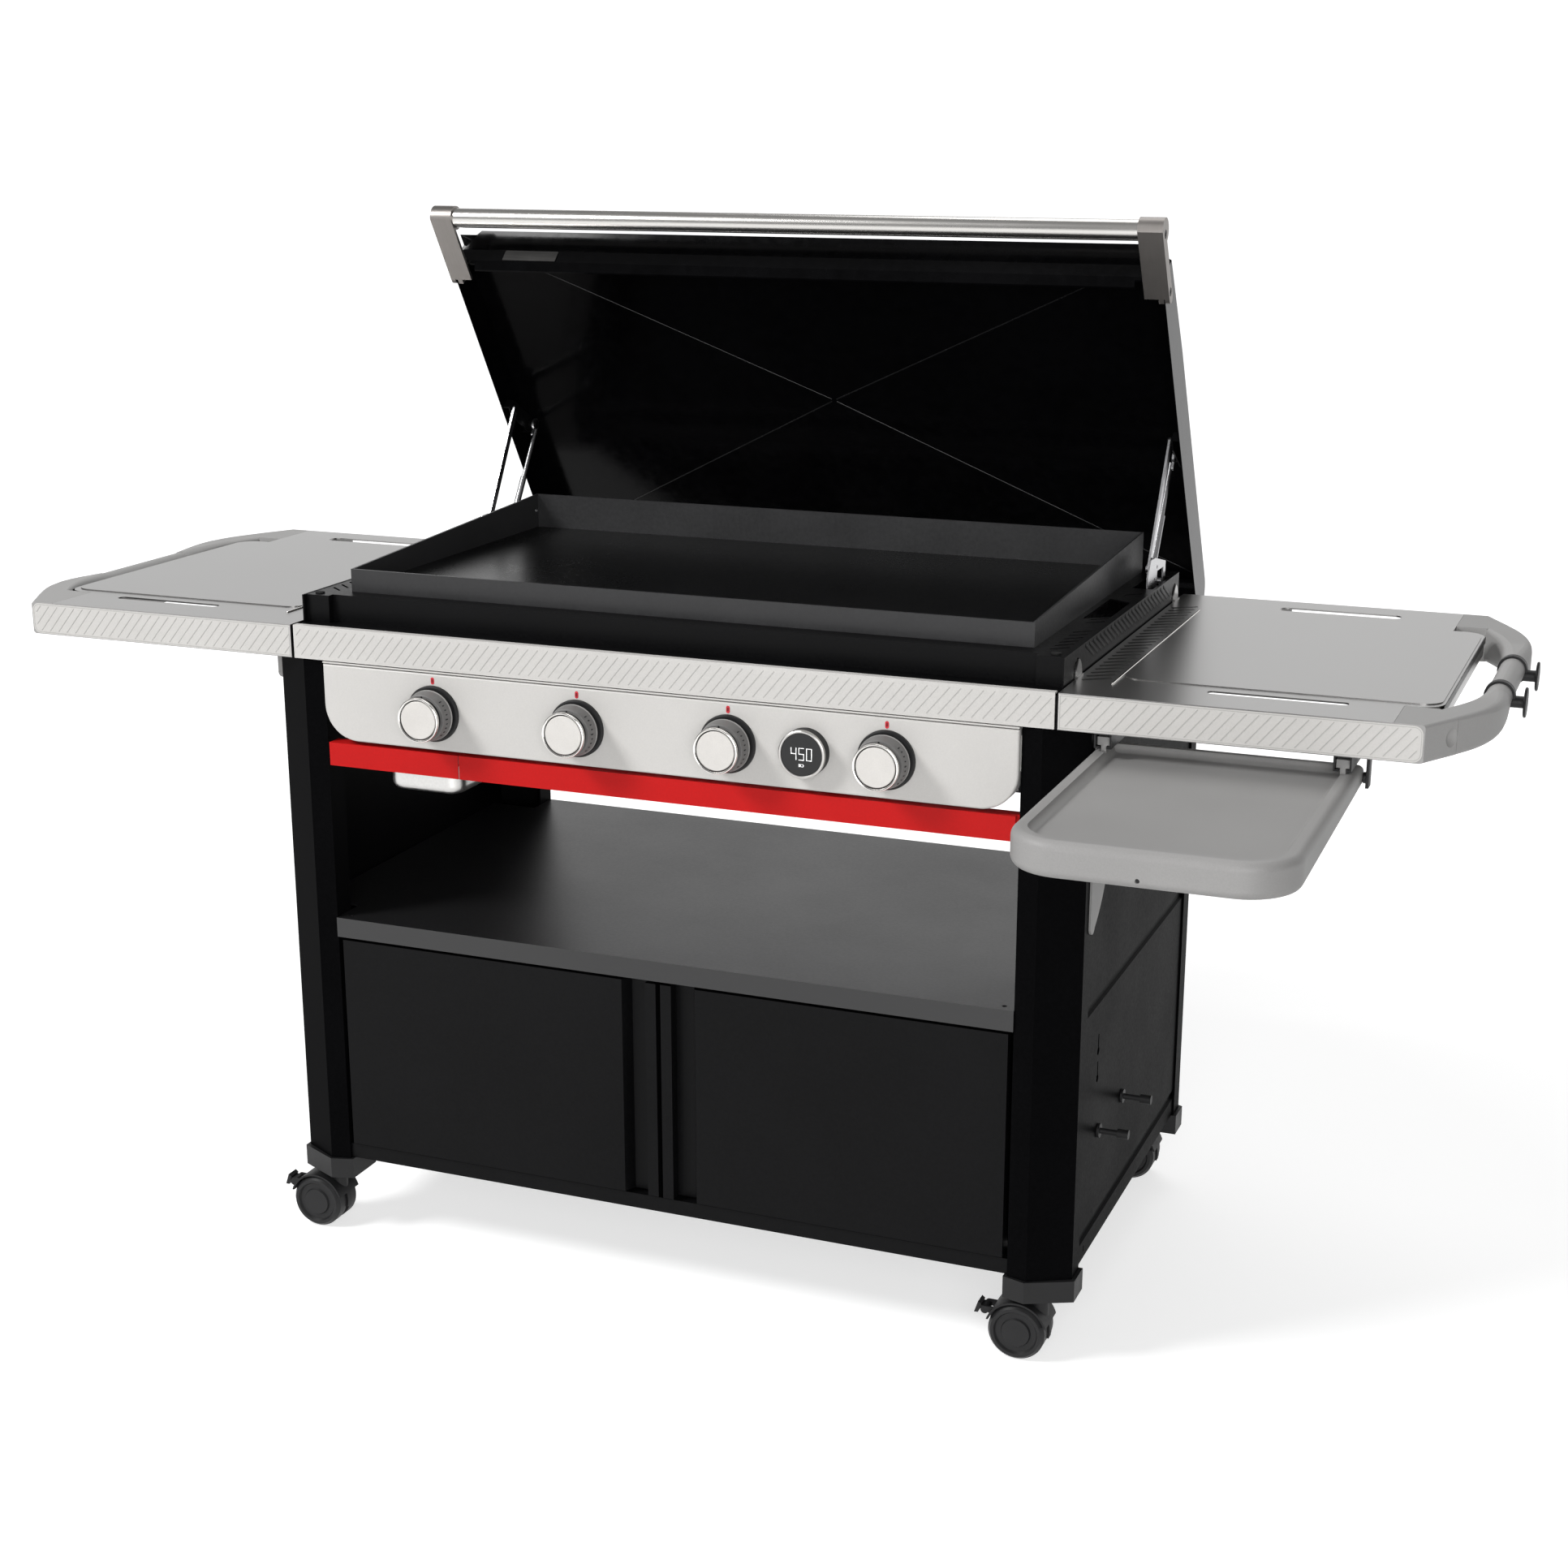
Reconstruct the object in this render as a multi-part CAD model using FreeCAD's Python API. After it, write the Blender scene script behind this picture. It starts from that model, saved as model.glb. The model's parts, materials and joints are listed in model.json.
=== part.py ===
import FreeCAD, Part
import os
from math import atan2, cos, degrees, radians, sin

# Outdoor gas griddle station, millimetres, +Z up, front towards -Y.
# It is laid out with x = 0 in the middle, y = 0 on the front face of the band and z = 0 on the floor.
# At the end everything moves so that the origin stands on the floor under the middle of the whole station.

os.makedirs("parts", exist_ok=True)

# Sheet, clearances and fits
sheet = 2.0
legSheet = 2.5
lidSheet = 1.5
seatGap = 0.3
pinFit = 0.05
runFit = 0.6

# Cart
cartDepth = 626.0
legInner = 464.0
legInnerSet = 6.5
legRidge = 490.0
legOuter = 540.5
legCorner = 27.0
legSideEnd = 57.0
legReturn = 34.0
capBottom = 83.0
capTop = 111.0
capWall = 4.5
capFloor = 5.0
bandBottom = 805.0
bandTop = 848.0

# Casters
wheelRadius = 36.0
wheelWidth = 20.0
wheelSpan = 50.0
axleRadius = 4.0
casterTrail = 23.0
casterX = 500.0
casterY = 30.0
hoodRadius = 40.0
hoodSheet = 2.5
hoodHalf = 24.0
stemRadius = 5.5
bossRadius = 11.0
leverPin = 2.0

# Shelf, floor and doors
shelfTop = 457.0
shelfDepth = 26.5
shelfFront = 4.0
floorTop = 132.0
floorDepth = 20.0
floorFront = 10.0
returnLip = 36.0
doorFront = 6.0
doorThick = 22.0
doorBottom = 134.5
doorTop = 426.0
doorEdge = 457.5
doorMeet = 3.2
gripEdge = 17.9
gripFloor = 43.0
gripOuter = 50.5
gripDepth = 16.0
doorPinX = 449.0
doorPinRadius = 3.0

# Side panels
ribLow = 136.0
ribHigh = 436.0
ribWidth = 14.0
ribDepth = 3.0
ribSlope = 3.0
pegY = 139.0
pegPitch = 118.0
pegZ = 262.0
pegReach = 39.0
pegRadius = 6.0
keyholeY = 125.0
keyholeTop = 395.0
keyholePitch = 36.0
keyholeLength = 27.0

# Control panel, knobs and display
panelHalf = 462.5
panelTop = 800.0
panelBottom = 701.5
panelCorner = 46.0
panelFace = 1.0
panelDepth = 22.0
knobPitch = 201.6
knobZ = 749.5
knobFace = -40.0
knobRadius = 28.5
knobNeck = 25.5
collarFront = 29.5
collarRear = 32.5
knobBack = -9.0
knobPush = 4.0
bezelRadius = 36.0
bezelThick = 5.5
stemShaft = 4.0
displayRadius = 29.5
displayFace = -17.0
displayBarrel = 26.0

# Red rail and grease tray
redTop = 696.6
redBottom = 666.0
redFront = 3.0
redDepth = 22.0
redHalf = 460.0
redSplit = -272.0
redJoint = 1.5
greaseLength = 300.0
cupLeft = -388.0
cupRight = -270.0
cupBottom = 640.0
cupFront = 11.0
cupLength = 198.0
cupCorner = 22.0
cupRim = 1.2
greaseDeck = redTop - 12
frameLeft = cupLeft - 8
frameRight = redSplit + 0.4
runnerLip = 4.0

# Cookbox surround and firebox
wallHalf = 505.0
wallTop = 882.0
wallFront = 28.0
wallRear = cartDepth - 24.0
ledgeTop = 881.5
recessFront = 45.0
blockFront = 35.0
blockInner = 470.0
ventPitch = 20.0
ventWidth = 4.5
ventInner = 475.5
ventOuter = 495.0
ventLean = 16.0
ventStart = 69.0
ventPlaces = (0, 1, 2, 3, 4, 5, 8, 9, 17.4)
portInner = 465.0
portFront = 255.0
portRear = 389.0
tabPlaces = (88.5, cartDepth - 45.5)
tabHalf = 12.5
tabRise = 21.0
fireHalf = 449.0
fireFront = 94.0
fireRear = cartDepth - 52.0
fireBottom = 705.0
fireFlange = 22.0
fireSideFlange = 14.0
burnerRadius = 14.0
valveSize = 22.0
manifoldRadius = 9.0
manifoldDrop = 22.0

# Griddle plate
plateHalf = 457.2
plateFront = 71.0
plateRear = cartDepth - 36.0
plateWall = 3.0
plateFloor = 5.0
plateFrontTop = 911.0
plateRearTop = 935.0
drainLeft = -382.0
drainRight = -350.0
drainFront = 77.0
drainDepth = 14.0

# Lid, in its own frame: s runs to the rear and down, t outwards, as the lid stands open
lidOriginY = cartDepth - 163.7
lidOriginZ = 1241.0
lidLean = 58.0
lidHalf = wallHalf - 1.3
lidFrontWall = [(-32.0, -3.0), (-42.0, 5.0), (-46.0, 24.0), (-62.0, 46.0)]
lidCrownS = 110.0
lidCornerRun = 36.0
lidCornerS = -38.0
lidRearS = 535.0
lidDepth = 56.0
lidRearRadius = 34.0
lipHalf = lidHalf - 36.7
handleS = -106.0
handleT = 12.0
handleRadius = 13.0
handleWall = 1.5
handleHalf = lidHalf - 24.7
bracketInner = handleHalf - 1.0
bracketTop = 14.0
bracketUnder = 2.4
bracketFlat = 2.0
bracketEnd = -14.0
bracketLap = -4.0
bracketSide = 6.0
bracketScrew = 5.5
bumperX = lidHalf - 13.7
bumperY = 47.5
bumperTop = 883.3

# Lid linkage: lower pins on the cookbox, upper pins on the lid, as the lid stands open
armLowY = lidOriginY + 34.7
armLowZ = 903.0
armHighY = lidOriginY + 125.7
armHighZ = 1058.0
rodLowY = lidOriginY + 79.7
rodLowZ = 880.0
rodHighY = lidOriginY + 177.7
rodHighZ = 1030.0
armPlane = wallHalf - 18.5
armThick = 3.0
armWidth = 11.0
linkPin = 4.0
rodPlane = wallHalf - 23.5
rodThick = 3.0
rodRadius = 3.0
sleeveRadius = 4.5
supportPlane = wallHalf - 13.5
rodLoopY = 15.0
rodLoopZ = 12.5

# Side tables
tableInner = wallHalf + 2.0
tableSeam = 878.0
tongueOuter = 919.0
tongueFront = 83.0
tongueRear = cartDepth - 113.0
tongueCorner = 26.0
tongueDrop = 22.0
padInner = 555.0
padFront = 95.0
padRear = cartDepth - 123.0
padRise = 1.2
slotLeft = 649.0
slotRight = 805.0
slotFront = cartDepth - 65.0
slotRear = cartDepth - 42.0
slitLeft = 662.0
slitRight = 820.0
slitFront = 60.0
slitRear = 74.0
tubeX = 963.0
tubeZ = 829.0
tubeRadius = 15.0
tubeWall = 1.5
tubeStart = 195.0
castingEnd = 219.0
castingWall = 1.0
castingCornerX = 912.0
dimpleRadius = 14.5
hookPlaces = (256.0, 400.0)
hookWidth = 11.0
hookRing = 2.8
hookDrop = 6.0
hookPeg = 7.0
hookDisc = 18.0

# Pull-out tray under the right table
trayInner = 544.0
trayOuter = 841.5
trayFront = -355.0
trayRear = 65.0
trayTop = 783.0
trayBottom = 755.0
trayFrontBottom = 742.0
trayHoleX = 689.0
trayHoleZ = 752.5
trayCorner = 60.0
trayRim = 17.0
trayWell = 9.0
traySkin = 3.0
trayRound = 10.0
runnerWidth = 20.0
runnerInset = 5.0
runnerHeight = 18.0
slideLength = 260.0


# Small builders
def at(x, y, z):
    return FreeCAD.Vector(x, y, z)


def box(x0, x1, y0, y1, z0, z1):
    return Part.makeBox(x1 - x0, y1 - y0, z1 - z0, at(x0, y0, z0))


def prism(points, run):
    return Part.Face(Part.makePolygon(points + points[:1])).extrude(run)


def plan(outline, z0, z1):
    return prism([at(x, y, z0) for x, y in outline], at(0, 0, z1 - z0))


def sideways(outline, x0, x1):
    return prism([at(x0, y, z) for y, z in outline], at(x1 - x0, 0, 0))


def lengthways(outline, y0, y1):
    return prism([at(x, y0, z) for x, z in outline], at(0, y1 - y0, 0))


def bar(start, end, radius):
    run = end - start
    return Part.makeCylinder(radius, run.Length, start, run)


def mirrorX(shape):
    return shape.mirror(at(0, 0, 0), at(1, 0, 0))


def mirrorY(shape):
    return shape.mirror(at(0, cartDepth / 2, 0), at(0, 1, 0))


def fuse(shapes):
    return shapes[0].multiFuse(shapes[1:]).removeSplitter()


def cut(shape, tools):
    return shape.cut(Part.makeCompound(tools))


def offsetLine(line, distance):
    # the same open line, shifted to its left by the distance, with mitred corners
    shifted = []
    for i, (x, y) in enumerate(line):
        before = line[max(i - 1, 0)]
        after = line[min(i + 1, len(line) - 1)]
        if i == 0:
            before = (2 * x - after[0], 2 * y - after[1])
        if i == len(line) - 1:
            after = (2 * x - before[0], 2 * y - before[1])
        first = atan2(y - before[1], x - before[0])
        second = atan2(after[1] - y, after[0] - x)
        turn = second - first
        middle = first + (turn - round(turn / radians(360)) * radians(360)) / 2
        reach = distance / cos(middle - first)
        shifted.append((x - reach * sin(middle), y + reach * cos(middle)))
    return shifted


def folded(line, thickness):
    # closed outline of a folded sheet whose outer face follows the line
    return line + offsetLine(line, thickness)[::-1]


def rounded(shape, radius, chosen):
    edges = [edge for edge in shape.Edges if chosen(edge)]
    return shape.makeFillet(radius, edges)


def upright(edge):
    box = edge.BoundBox
    return box.XLength < 0.01 and box.YLength < 0.01


def roundedPlan(x0, x1, y0, y1, z0, z1, radius):
    return rounded(box(x0, x1, y0, y1, z0, z1), radius, upright)


def revolved(profile, x, z):
    # profile points (radius, y) turned about a line along Y
    points = [at(x + r, y, z) for r, y in profile]
    return Part.Face(Part.makePolygon(points + points[:1])).revolve(at(x, 0, z), at(0, 1, 0), 360)


def revolvedX(profile, y, z):
    # profile points (radius, x) turned about a line along X
    points = [at(x, y, z + r) for r, x in profile]
    return Part.Face(Part.makePolygon(points + points[:1])).revolve(at(0, y, z), at(1, 0, 0), 360)


# Legs, folded from sheet and open to the inside of the cart
def legLine():
    return [
        (legInner, legInnerSet + legReturn),
        (legInner, legInnerSet),
        (legRidge, 0),
        (legOuter, legCorner),
        (legOuter, legSideEnd),
    ]


def leg():
    return plan(folded(legLine(), legSheet), capBottom + capFloor, bandBottom)


def frontLegs():
    return [leg(), mirrorX(leg())]


def rearLegs():
    return [mirrorY(shape) for shape in frontLegs()]


# Foot caps, cups round the leg ends with a boss for the caster stem
def footCap():
    outer = plan(
        [
            (legInner - capWall, legSideEnd + capWall),
            (legInner - capWall, legInnerSet - capWall / 2),
            (legRidge - capWall / 4, -capWall),
            (legOuter + capWall, legCorner - capWall),
            (legOuter + capWall, legSideEnd + capWall),
        ],
        capBottom,
        capTop,
    )
    pocket = plan(legLine()[1:] + [(legInner, legSideEnd)], capBottom + capFloor, capTop)
    boss = Part.makeCylinder(bossRadius, capTop - capBottom, at(casterX, casterY, capBottom))
    bore = Part.makeCylinder(stemRadius + pinFit, capTop - capBottom, at(casterX, casterY, capBottom))
    return fuse([outer.cut(pocket), boss]).cut(bore)


def footCaps():
    front = [footCap(), mirrorX(footCap())]
    return front + [mirrorY(shape) for shape in front]


# Casters, swivelling about the stem, both wheels on one axle behind it
def caster(side, y):
    stem = side * casterX
    hub = stem - casterTrail
    return stem, hub, y


def casterHood(stem, hub, y, lever):
    top = capBottom - seatGap
    shell = Part.makeCylinder(hoodRadius, 2 * hoodHalf, at(hub, y - hoodHalf, wheelRadius), at(0, 1, 0))
    inside = hoodRadius - hoodSheet
    shell = shell.cut(Part.makeCylinder(inside, 2 * hoodHalf, at(hub, y - hoodHalf, wheelRadius), at(0, 1, 0)))
    keep = box(hub - hoodRadius, hub + hoodRadius, y - hoodHalf, y + hoodHalf, wheelRadius + 12, 90)
    shell = shell.common(keep)
    web = (wheelSpan - 2 * wheelWidth) / 2 - runFit
    fork = Part.makeCylinder(inside + 1, 2 * web, at(hub, y - web, wheelRadius), at(0, 1, 0))
    fork = fork.common(box(hub - hoodRadius, hub + hoodRadius, y - web, y + web, wheelRadius - 10, 90))
    crown = Part.makeCylinder(2.2 * stemRadius, top - wheelRadius - inside, at(stem, y, wheelRadius + inside - 1.5))
    crown = crown.common(box(stem - 50, stem + 50, y - 50, y + 50, 0, top))
    neck = Part.makeCylinder(2.2 * stemRadius, top - wheelRadius, at(stem, y, wheelRadius))
    neck = neck.cut(Part.makeCylinder(inside, 4 * hoodHalf, at(hub, y - 2 * hoodHalf, wheelRadius), at(0, 1, 0)))
    pin = Part.makeCylinder(stemRadius, capTop - top, at(stem, y, top))
    pieces = [shell, fork, crown, neck, pin]
    if lever:
        pieces += leverEars(hub, y)
    hood = fuse(pieces)
    return hood.cut(Part.makeCylinder(axleRadius + pinFit, wheelSpan, at(hub, y - wheelSpan / 2, wheelRadius), at(0, 1, 0)))


def leverCentre(hub):
    return at(hub - hoodRadius - 4, 0, wheelRadius + 17)


def leverEars(hub, y):
    centre = leverCentre(hub)
    ears = []
    for side in (-1, 1):
        inner = y + side * 8.0
        outer = y + side * 11.0
        ear = Part.makeCylinder(5.0, 3.0, at(centre.x, min(inner, outer), centre.z), at(0, 1, 0))
        arm = box(centre.x, hub - 30, min(inner, outer), max(inner, outer), centre.z - 3, centre.z + 5)
        arm = arm.cut(Part.makeCylinder(hoodRadius - 1, 60, at(hub, y - 30, wheelRadius), at(0, 1, 0)))
        ears += [ear, arm]
    ears.append(Part.makeCylinder(leverPin, 20, at(centre.x, y - 10, centre.z), at(0, 1, 0)))
    return ears


def brakeLever(hub, y):
    centre = leverCentre(hub)
    hubPart = Part.makeCylinder(4.2, 2 * (8.0 - seatGap), at(centre.x, y - 8.0 + seatGap, centre.z), at(0, 1, 0))
    tread = box(centre.x - 10, centre.x, y - 7.5, y + 7.5, centre.z - 1, centre.z + 4)
    wedge = [(-14, -6), (-9, -6), (-5, 6), (-9, 9)]
    tip = lengthways([(centre.x + x, centre.z + z) for x, z in wedge], y - 9, y + 9)
    bore = Part.makeCylinder(leverPin + pinFit, 30, at(centre.x, y - 15, centre.z), at(0, 1, 0))
    return fuse([hubPart, tread, tip]).cut(bore)


def casterWheels(hub, y):
    half = wheelSpan / 2
    rim = wheelRadius
    inner = half - wheelWidth
    disc = 0.49 * rim
    profile = [
        (0, inner),
        (rim, inner),
        (rim, half - 5),
        (rim - 4, half),
        (rim - 8, half),
        (rim - 10, half - 3),
        (disc + 1.5, half - 3),
        (disc, half - 0.5),
        (0, half - 0.5),
    ]
    outer = revolved([(r, y + v) for r, v in profile], hub, wheelRadius)
    other = revolved([(r, y - v) for r, v in profile], hub, wheelRadius)
    axle = Part.makeCylinder(axleRadius, 2 * inner + 2, at(hub, y - inner - 1, wheelRadius), at(0, 1, 0))
    return fuse([outer, other, axle])


# Sheet trays of the cart: a top skin with front and rear flanges that fold under
def foldedTray(half, front, rear, top, depth):
    line = [
        (front + returnLip, top - depth),
        (front, top - depth),
        (front, top),
        (rear, top),
        (rear, top - depth),
        (rear - returnLip, top - depth),
    ]
    outline = line + offsetLine(line, -sheet)[::-1]
    return sideways(outline, -half, half)


def sideWing(front, rear, top, depth, outer):
    # the skin reaches out to the side panels between the legs
    inner = legInner - 1
    skin = box(inner, outer, front, rear, top - sheet, top)
    edge = box(outer - sheet, outer, front, rear, top - depth, top - sheet)
    return [skin, edge, mirrorX(skin), mirrorX(edge)]


def wingFront():
    return legSideEnd + 3


def shelf():
    body = foldedTray(legInner, shelfFront, cartDepth - shelfFront - 4, shelfTop, shelfDepth)
    panelInner = legOuter - legSheet - sheet - ribDepth
    wings = sideWing(wingFront(), cartDepth - wingFront(), shelfTop, shelfDepth, panelInner)
    return fuse([body] + wings).cut(hingeHoles(shelfTop - shelfDepth, shelfTop))


def floorPanel():
    body = foldedTray(legInner, floorFront, cartDepth - floorFront, floorTop, floorDepth)
    wings = sideWing(wingFront(), cartDepth - wingFront(), floorTop, floorDepth, legOuter - legSheet - sheet)
    return fuse([body] + wings).cut(hingeHoles(floorTop - 5, floorTop))


def hingeHoles(z0, z1):
    y = doorFront + doorThick / 2
    hole = Part.makeCylinder(doorPinRadius + pinFit, z1 - z0, at(doorPinX, y, z0))
    return Part.makeCompound([hole, mirrorX(hole)])


# Doors, pans with a grip channel along their meeting edges and pins at the outer corners
def door():
    y = doorFront
    line = [(doorMeet, y), (gripEdge, y), (gripEdge, y + gripDepth), (gripFloor, y + gripDepth), (gripOuter, y), (doorEdge, y)]
    solid = plan(line + [(doorEdge, y + doorThick), (doorMeet, y + doorThick)], doorBottom, doorTop)
    skin = sheet
    inside = plan(
        [
            (doorMeet + skin, y + skin),
            (gripEdge - skin, y + skin),
            (gripEdge - skin, y + gripDepth + skin),
            (gripFloor + skin, y + gripDepth + skin),
            (gripOuter + skin, y + skin),
            (doorEdge - skin, y + skin),
            (doorEdge - skin, y + doorThick),
            (doorMeet + skin, y + doorThick),
        ],
        doorBottom + skin,
        doorTop - skin,
    )
    pinY = doorFront + doorThick / 2
    boss = 2 * doorPinRadius
    pinLow = Part.makeCylinder(doorPinRadius, boss + doorBottom - floorTop + 2, at(doorPinX, pinY, floorTop - 2))
    pinTop = shelfTop - shelfDepth + sheet
    pinHigh = Part.makeCylinder(doorPinRadius, pinTop - doorTop + boss, at(doorPinX, pinY, doorTop - boss))
    return fuse([solid.cut(inside), pinLow, pinHigh])


# Panels between the legs
def sidePanel():
    outer = legOuter - legSheet
    line = [(outer, floorTop - floorDepth)]
    for start in (ribLow, ribHigh):
        line += [
            (outer, start),
            (outer - ribDepth, start + ribSlope),
            (outer - ribDepth, start + ribWidth - ribSlope),
            (outer, start + ribWidth),
        ]
    line.append((outer, bandBottom - 2))
    outline = line + offsetLine(line, sheet)[::-1]
    front = legSideEnd - 20
    panel = lengthways(outline, front, cartDepth - front)
    slit = box(outer - 10, outer + 1, 86, 90, 120, 128)
    return cut(panel, [keyhole(keyholeTop), keyhole(keyholeTop - keyholePitch), slit])


def keyhole(top):
    outer = legOuter - legSheet
    foot = Part.makeCylinder(5, 12, at(outer - 10, keyholeY, top - keyholeLength + 5), at(1, 0, 0))
    slot = box(outer - 10, outer + 2, keyholeY - 2, keyholeY + 2, top - keyholeLength + 5, top)
    return foot.fuse(slot)


def backPanel():
    rear = cartDepth - floorFront - sheet
    panel = box(-legInner, legInner, rear - sheet, rear, floorTop, shelfTop - shelfDepth)
    return panel


def sidePegs():
    outer = legOuter - legSheet
    pegs = []
    for y in (pegY, pegY + pegPitch):
        body = bar(at(outer, y, pegZ), at(outer + pegReach - 9, y, pegZ), 0.62 * pegRadius)
        flange = bar(at(outer, y, pegZ), at(outer + 3, y, pegZ), 1.5 * pegRadius)
        knob = bar(at(outer + pegReach - 14, y, pegZ), at(outer + pegReach, y, pegZ), pegRadius)
        pegs.append(fuse([body, flange, knob]))
    return pegs


# Front band with the lip that the control panel hangs from
def frontBand():
    skin = box(2 - wallHalf, wallHalf - 2, 0, sheet, bandBottom, bandTop)
    top = box(2 - wallHalf, wallHalf - 2, 0, 10, bandTop - sheet, bandTop)
    bottom = box(-panelHalf, panelHalf, 0, 14, bandBottom, bandBottom + sheet)
    drop = box(-panelHalf, panelHalf, 12, 14, panelTop, bandBottom)
    bead = box(-panelHalf, panelHalf, 1, 14, panelTop + 1.5, panelTop + 3.5)
    return fuse([skin, top, bottom, drop, bead])


def panelShape(inset, y0, y1):
    half = panelHalf - inset
    radius = panelCorner - inset
    block = box(-half, half, y0, y1, panelBottom + inset, panelTop - inset)
    low = panelBottom + inset + 0.5

    def lowCorner(edge):
        bound = edge.BoundBox
        return bound.XLength < 0.01 and bound.ZLength < 0.01 and bound.ZMax < low

    return rounded(block, radius, lowCorner)


def knobPlaces():
    return [-1.5 * knobPitch, -0.5 * knobPitch, 0.5 * knobPitch, 1.5 * knobPitch]


def controlPanel():
    rear = panelFace + panelDepth
    pan = panelShape(0, panelFace, rear)
    pan = rounded(pan, 2.5, lambda edge: edge.BoundBox.YMax < panelFace + 0.01)
    pan = pan.cut(panelShape(sheet, panelFace + sheet, rear))
    holes = [Part.makeCylinder(stemShaft + 2, 3 * sheet, at(x, panelFace - sheet, knobZ), at(0, 1, 0)) for x in knobPlaces()]
    holes.append(Part.makeCylinder(displayBarrel - 4, 3 * sheet, at(knobPitch, panelFace - sheet, knobZ), at(0, 1, 0)))
    tab = box(panelHalf - sheet, legInner, 9, 21, knobZ, panelTop - 8)
    return fuse([cut(pan, holes), tab, mirrorX(tab)])


def knobBezels():
    front = panelFace - bezelThick
    bore = stemShaft + 2
    profile = [
        (bore, front),
        (bezelRadius - 1.5, front),
        (bezelRadius, front + 1.5),
        (bezelRadius, panelFace),
        (bore, panelFace),
    ]
    return [revolved(profile, x, knobZ) for x in knobPlaces()]


def knob(x):
    neck = knobFace + 4
    profile = [
        (0, knobFace),
        (knobRadius - 1, knobFace),
        (knobRadius, knobFace + 1),
        (knobRadius, neck),
        (knobNeck, neck),
        (knobNeck, neck + 3),
        (collarFront, neck + 3),
        (collarRear, knobBack - 2),
        (collarRear, knobBack),
        (stemShaft + pinFit, knobBack),
        (stemShaft + pinFit, knobFace + 6),
        (0, knobFace + 6),
    ]
    return revolved(profile, x, knobZ)


def stemEnd():
    return fireFront - 48.0


def valveStem(x):
    return bar(at(x, knobFace + 6 + seatGap, knobZ), at(x, stemEnd(), knobZ), stemShaft)


def display():
    profile = [
        (0, displayFace + 1.2),
        (displayRadius - 3.5, displayFace + 1.2),
        (displayRadius - 3, displayFace),
        (displayRadius - 1, displayFace),
        (displayRadius, displayFace + 1),
        (displayRadius, displayFace + 5),
        (displayBarrel, displayFace + 5),
        (displayBarrel, panelFace),
        (displayBarrel - 5, panelFace),
        (displayBarrel - 5, panelFace + 12),
        (0, panelFace + 12),
    ]
    return revolved(profile, knobPitch, knobZ)


# Red rail, and the sliding grease tray that carries the rail's left end
def redPiece(x0, x1):
    rear = redFront + redDepth
    solid = box(x0, x1, redFront, rear, redBottom, redTop)
    inside = box(x0 - 1, x1 + 1, redFront + sheet, rear + 1, redBottom - 1, redTop - sheet)
    return solid.cut(inside)


def trayRail():
    rear = redFront + redDepth
    rail = redPiece(redSplit + redJoint, redHalf)
    lugs = [box(redHalf - sheet, legInner, 10, 20, redTop - 12, redTop)]
    for x in (-0.4 * redHalf, 0.4 * redHalf):
        lugs.append(box(x, x + 30, rear - sheet, fireFront + 24, redTop - sheet, redTop))
        lugs.append(box(x, x + 30, fireFront + 22, fireFront + 24, redTop - sheet, fireBottom))
    return fuse([rail] + lugs)


def greaseTray():
    # front with a frame behind it: a hole for the cup, open at the right so that the frame clears the rail
    front = redFront + sheet
    face = redPiece(-redHalf, redSplit)
    frame = box(frameLeft, frameRight, front - 1, redFront + redDepth + greaseLength, greaseDeck - sheet, greaseDeck)
    hole = box(cupLeft + 5, cupRight - 5, front + 4, cupFront + cupLength + 1, greaseDeck - 4, greaseDeck + 1)
    return fuse([face, frame.cut(hole)])


def greaseCup():
    deck = greaseDeck
    x0, x1 = cupLeft + 6, cupRight - 6
    y0, y1 = cupFront, cupFront + cupLength

    def bowl(inset, bottom, top):
        block = box(x0 + inset, x1 - inset, y0 + inset, y1 - inset, bottom, top)
        block = rounded(block, cupCorner - inset, upright)
        return rounded(block, cupCorner * 0.5 - inset, lambda edge: edge.BoundBox.ZMax < bottom + 0.01)

    top = deck + cupRim
    flange = roundedPlan(x0 - 5, x1 + 5, y0 - 5, y1 + 5, deck, top, cupCorner)
    return fuse([bowl(0, cupBottom, top), flange]).cut(bowl(1.0, cupBottom + 1.0, top + 1))


# Firebox tub with its flange under the ledge and the runners of the grease tray below
def firebox():
    flangeTop = ledgeTop - sheet
    outer = box(-fireHalf, fireHalf, fireFront, fireRear, fireBottom, flangeTop)
    inner = box(sheet - fireHalf, fireHalf - sheet, fireFront + sheet, fireRear - sheet, fireBottom + sheet, flangeTop + 1)
    flangeHalf = fireHalf + fireSideFlange
    flange = box(-flangeHalf, flangeHalf, fireFront - fireFlange, fireRear + fireFlange, flangeTop - sheet, flangeTop)
    flange = flange.cut(box(1 - fireHalf, fireHalf - 1, fireFront + 1, fireRear - 1, flangeTop - 5, flangeTop + 1))
    holes = [Part.makeCylinder(burnerRadius + seatGap, 10, at(x, fireFront - 4, knobZ), at(0, 1, 0)) for x in knobPlaces()]
    holes.append(drainHole(flangeTop - 3, flangeTop + 1))
    for i in range(9):
        x = (i - 4) * 0.2 * fireHalf
        holes.append(box(x - 30, x + 30, fireRear - 5, fireRear + 5, flangeTop - 50, flangeTop - 30))
    return fuse([cut(outer.cut(inner), holes), flange.cut(drainHole(flangeTop - 3, flangeTop + 1))] + greaseRunners())


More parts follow.
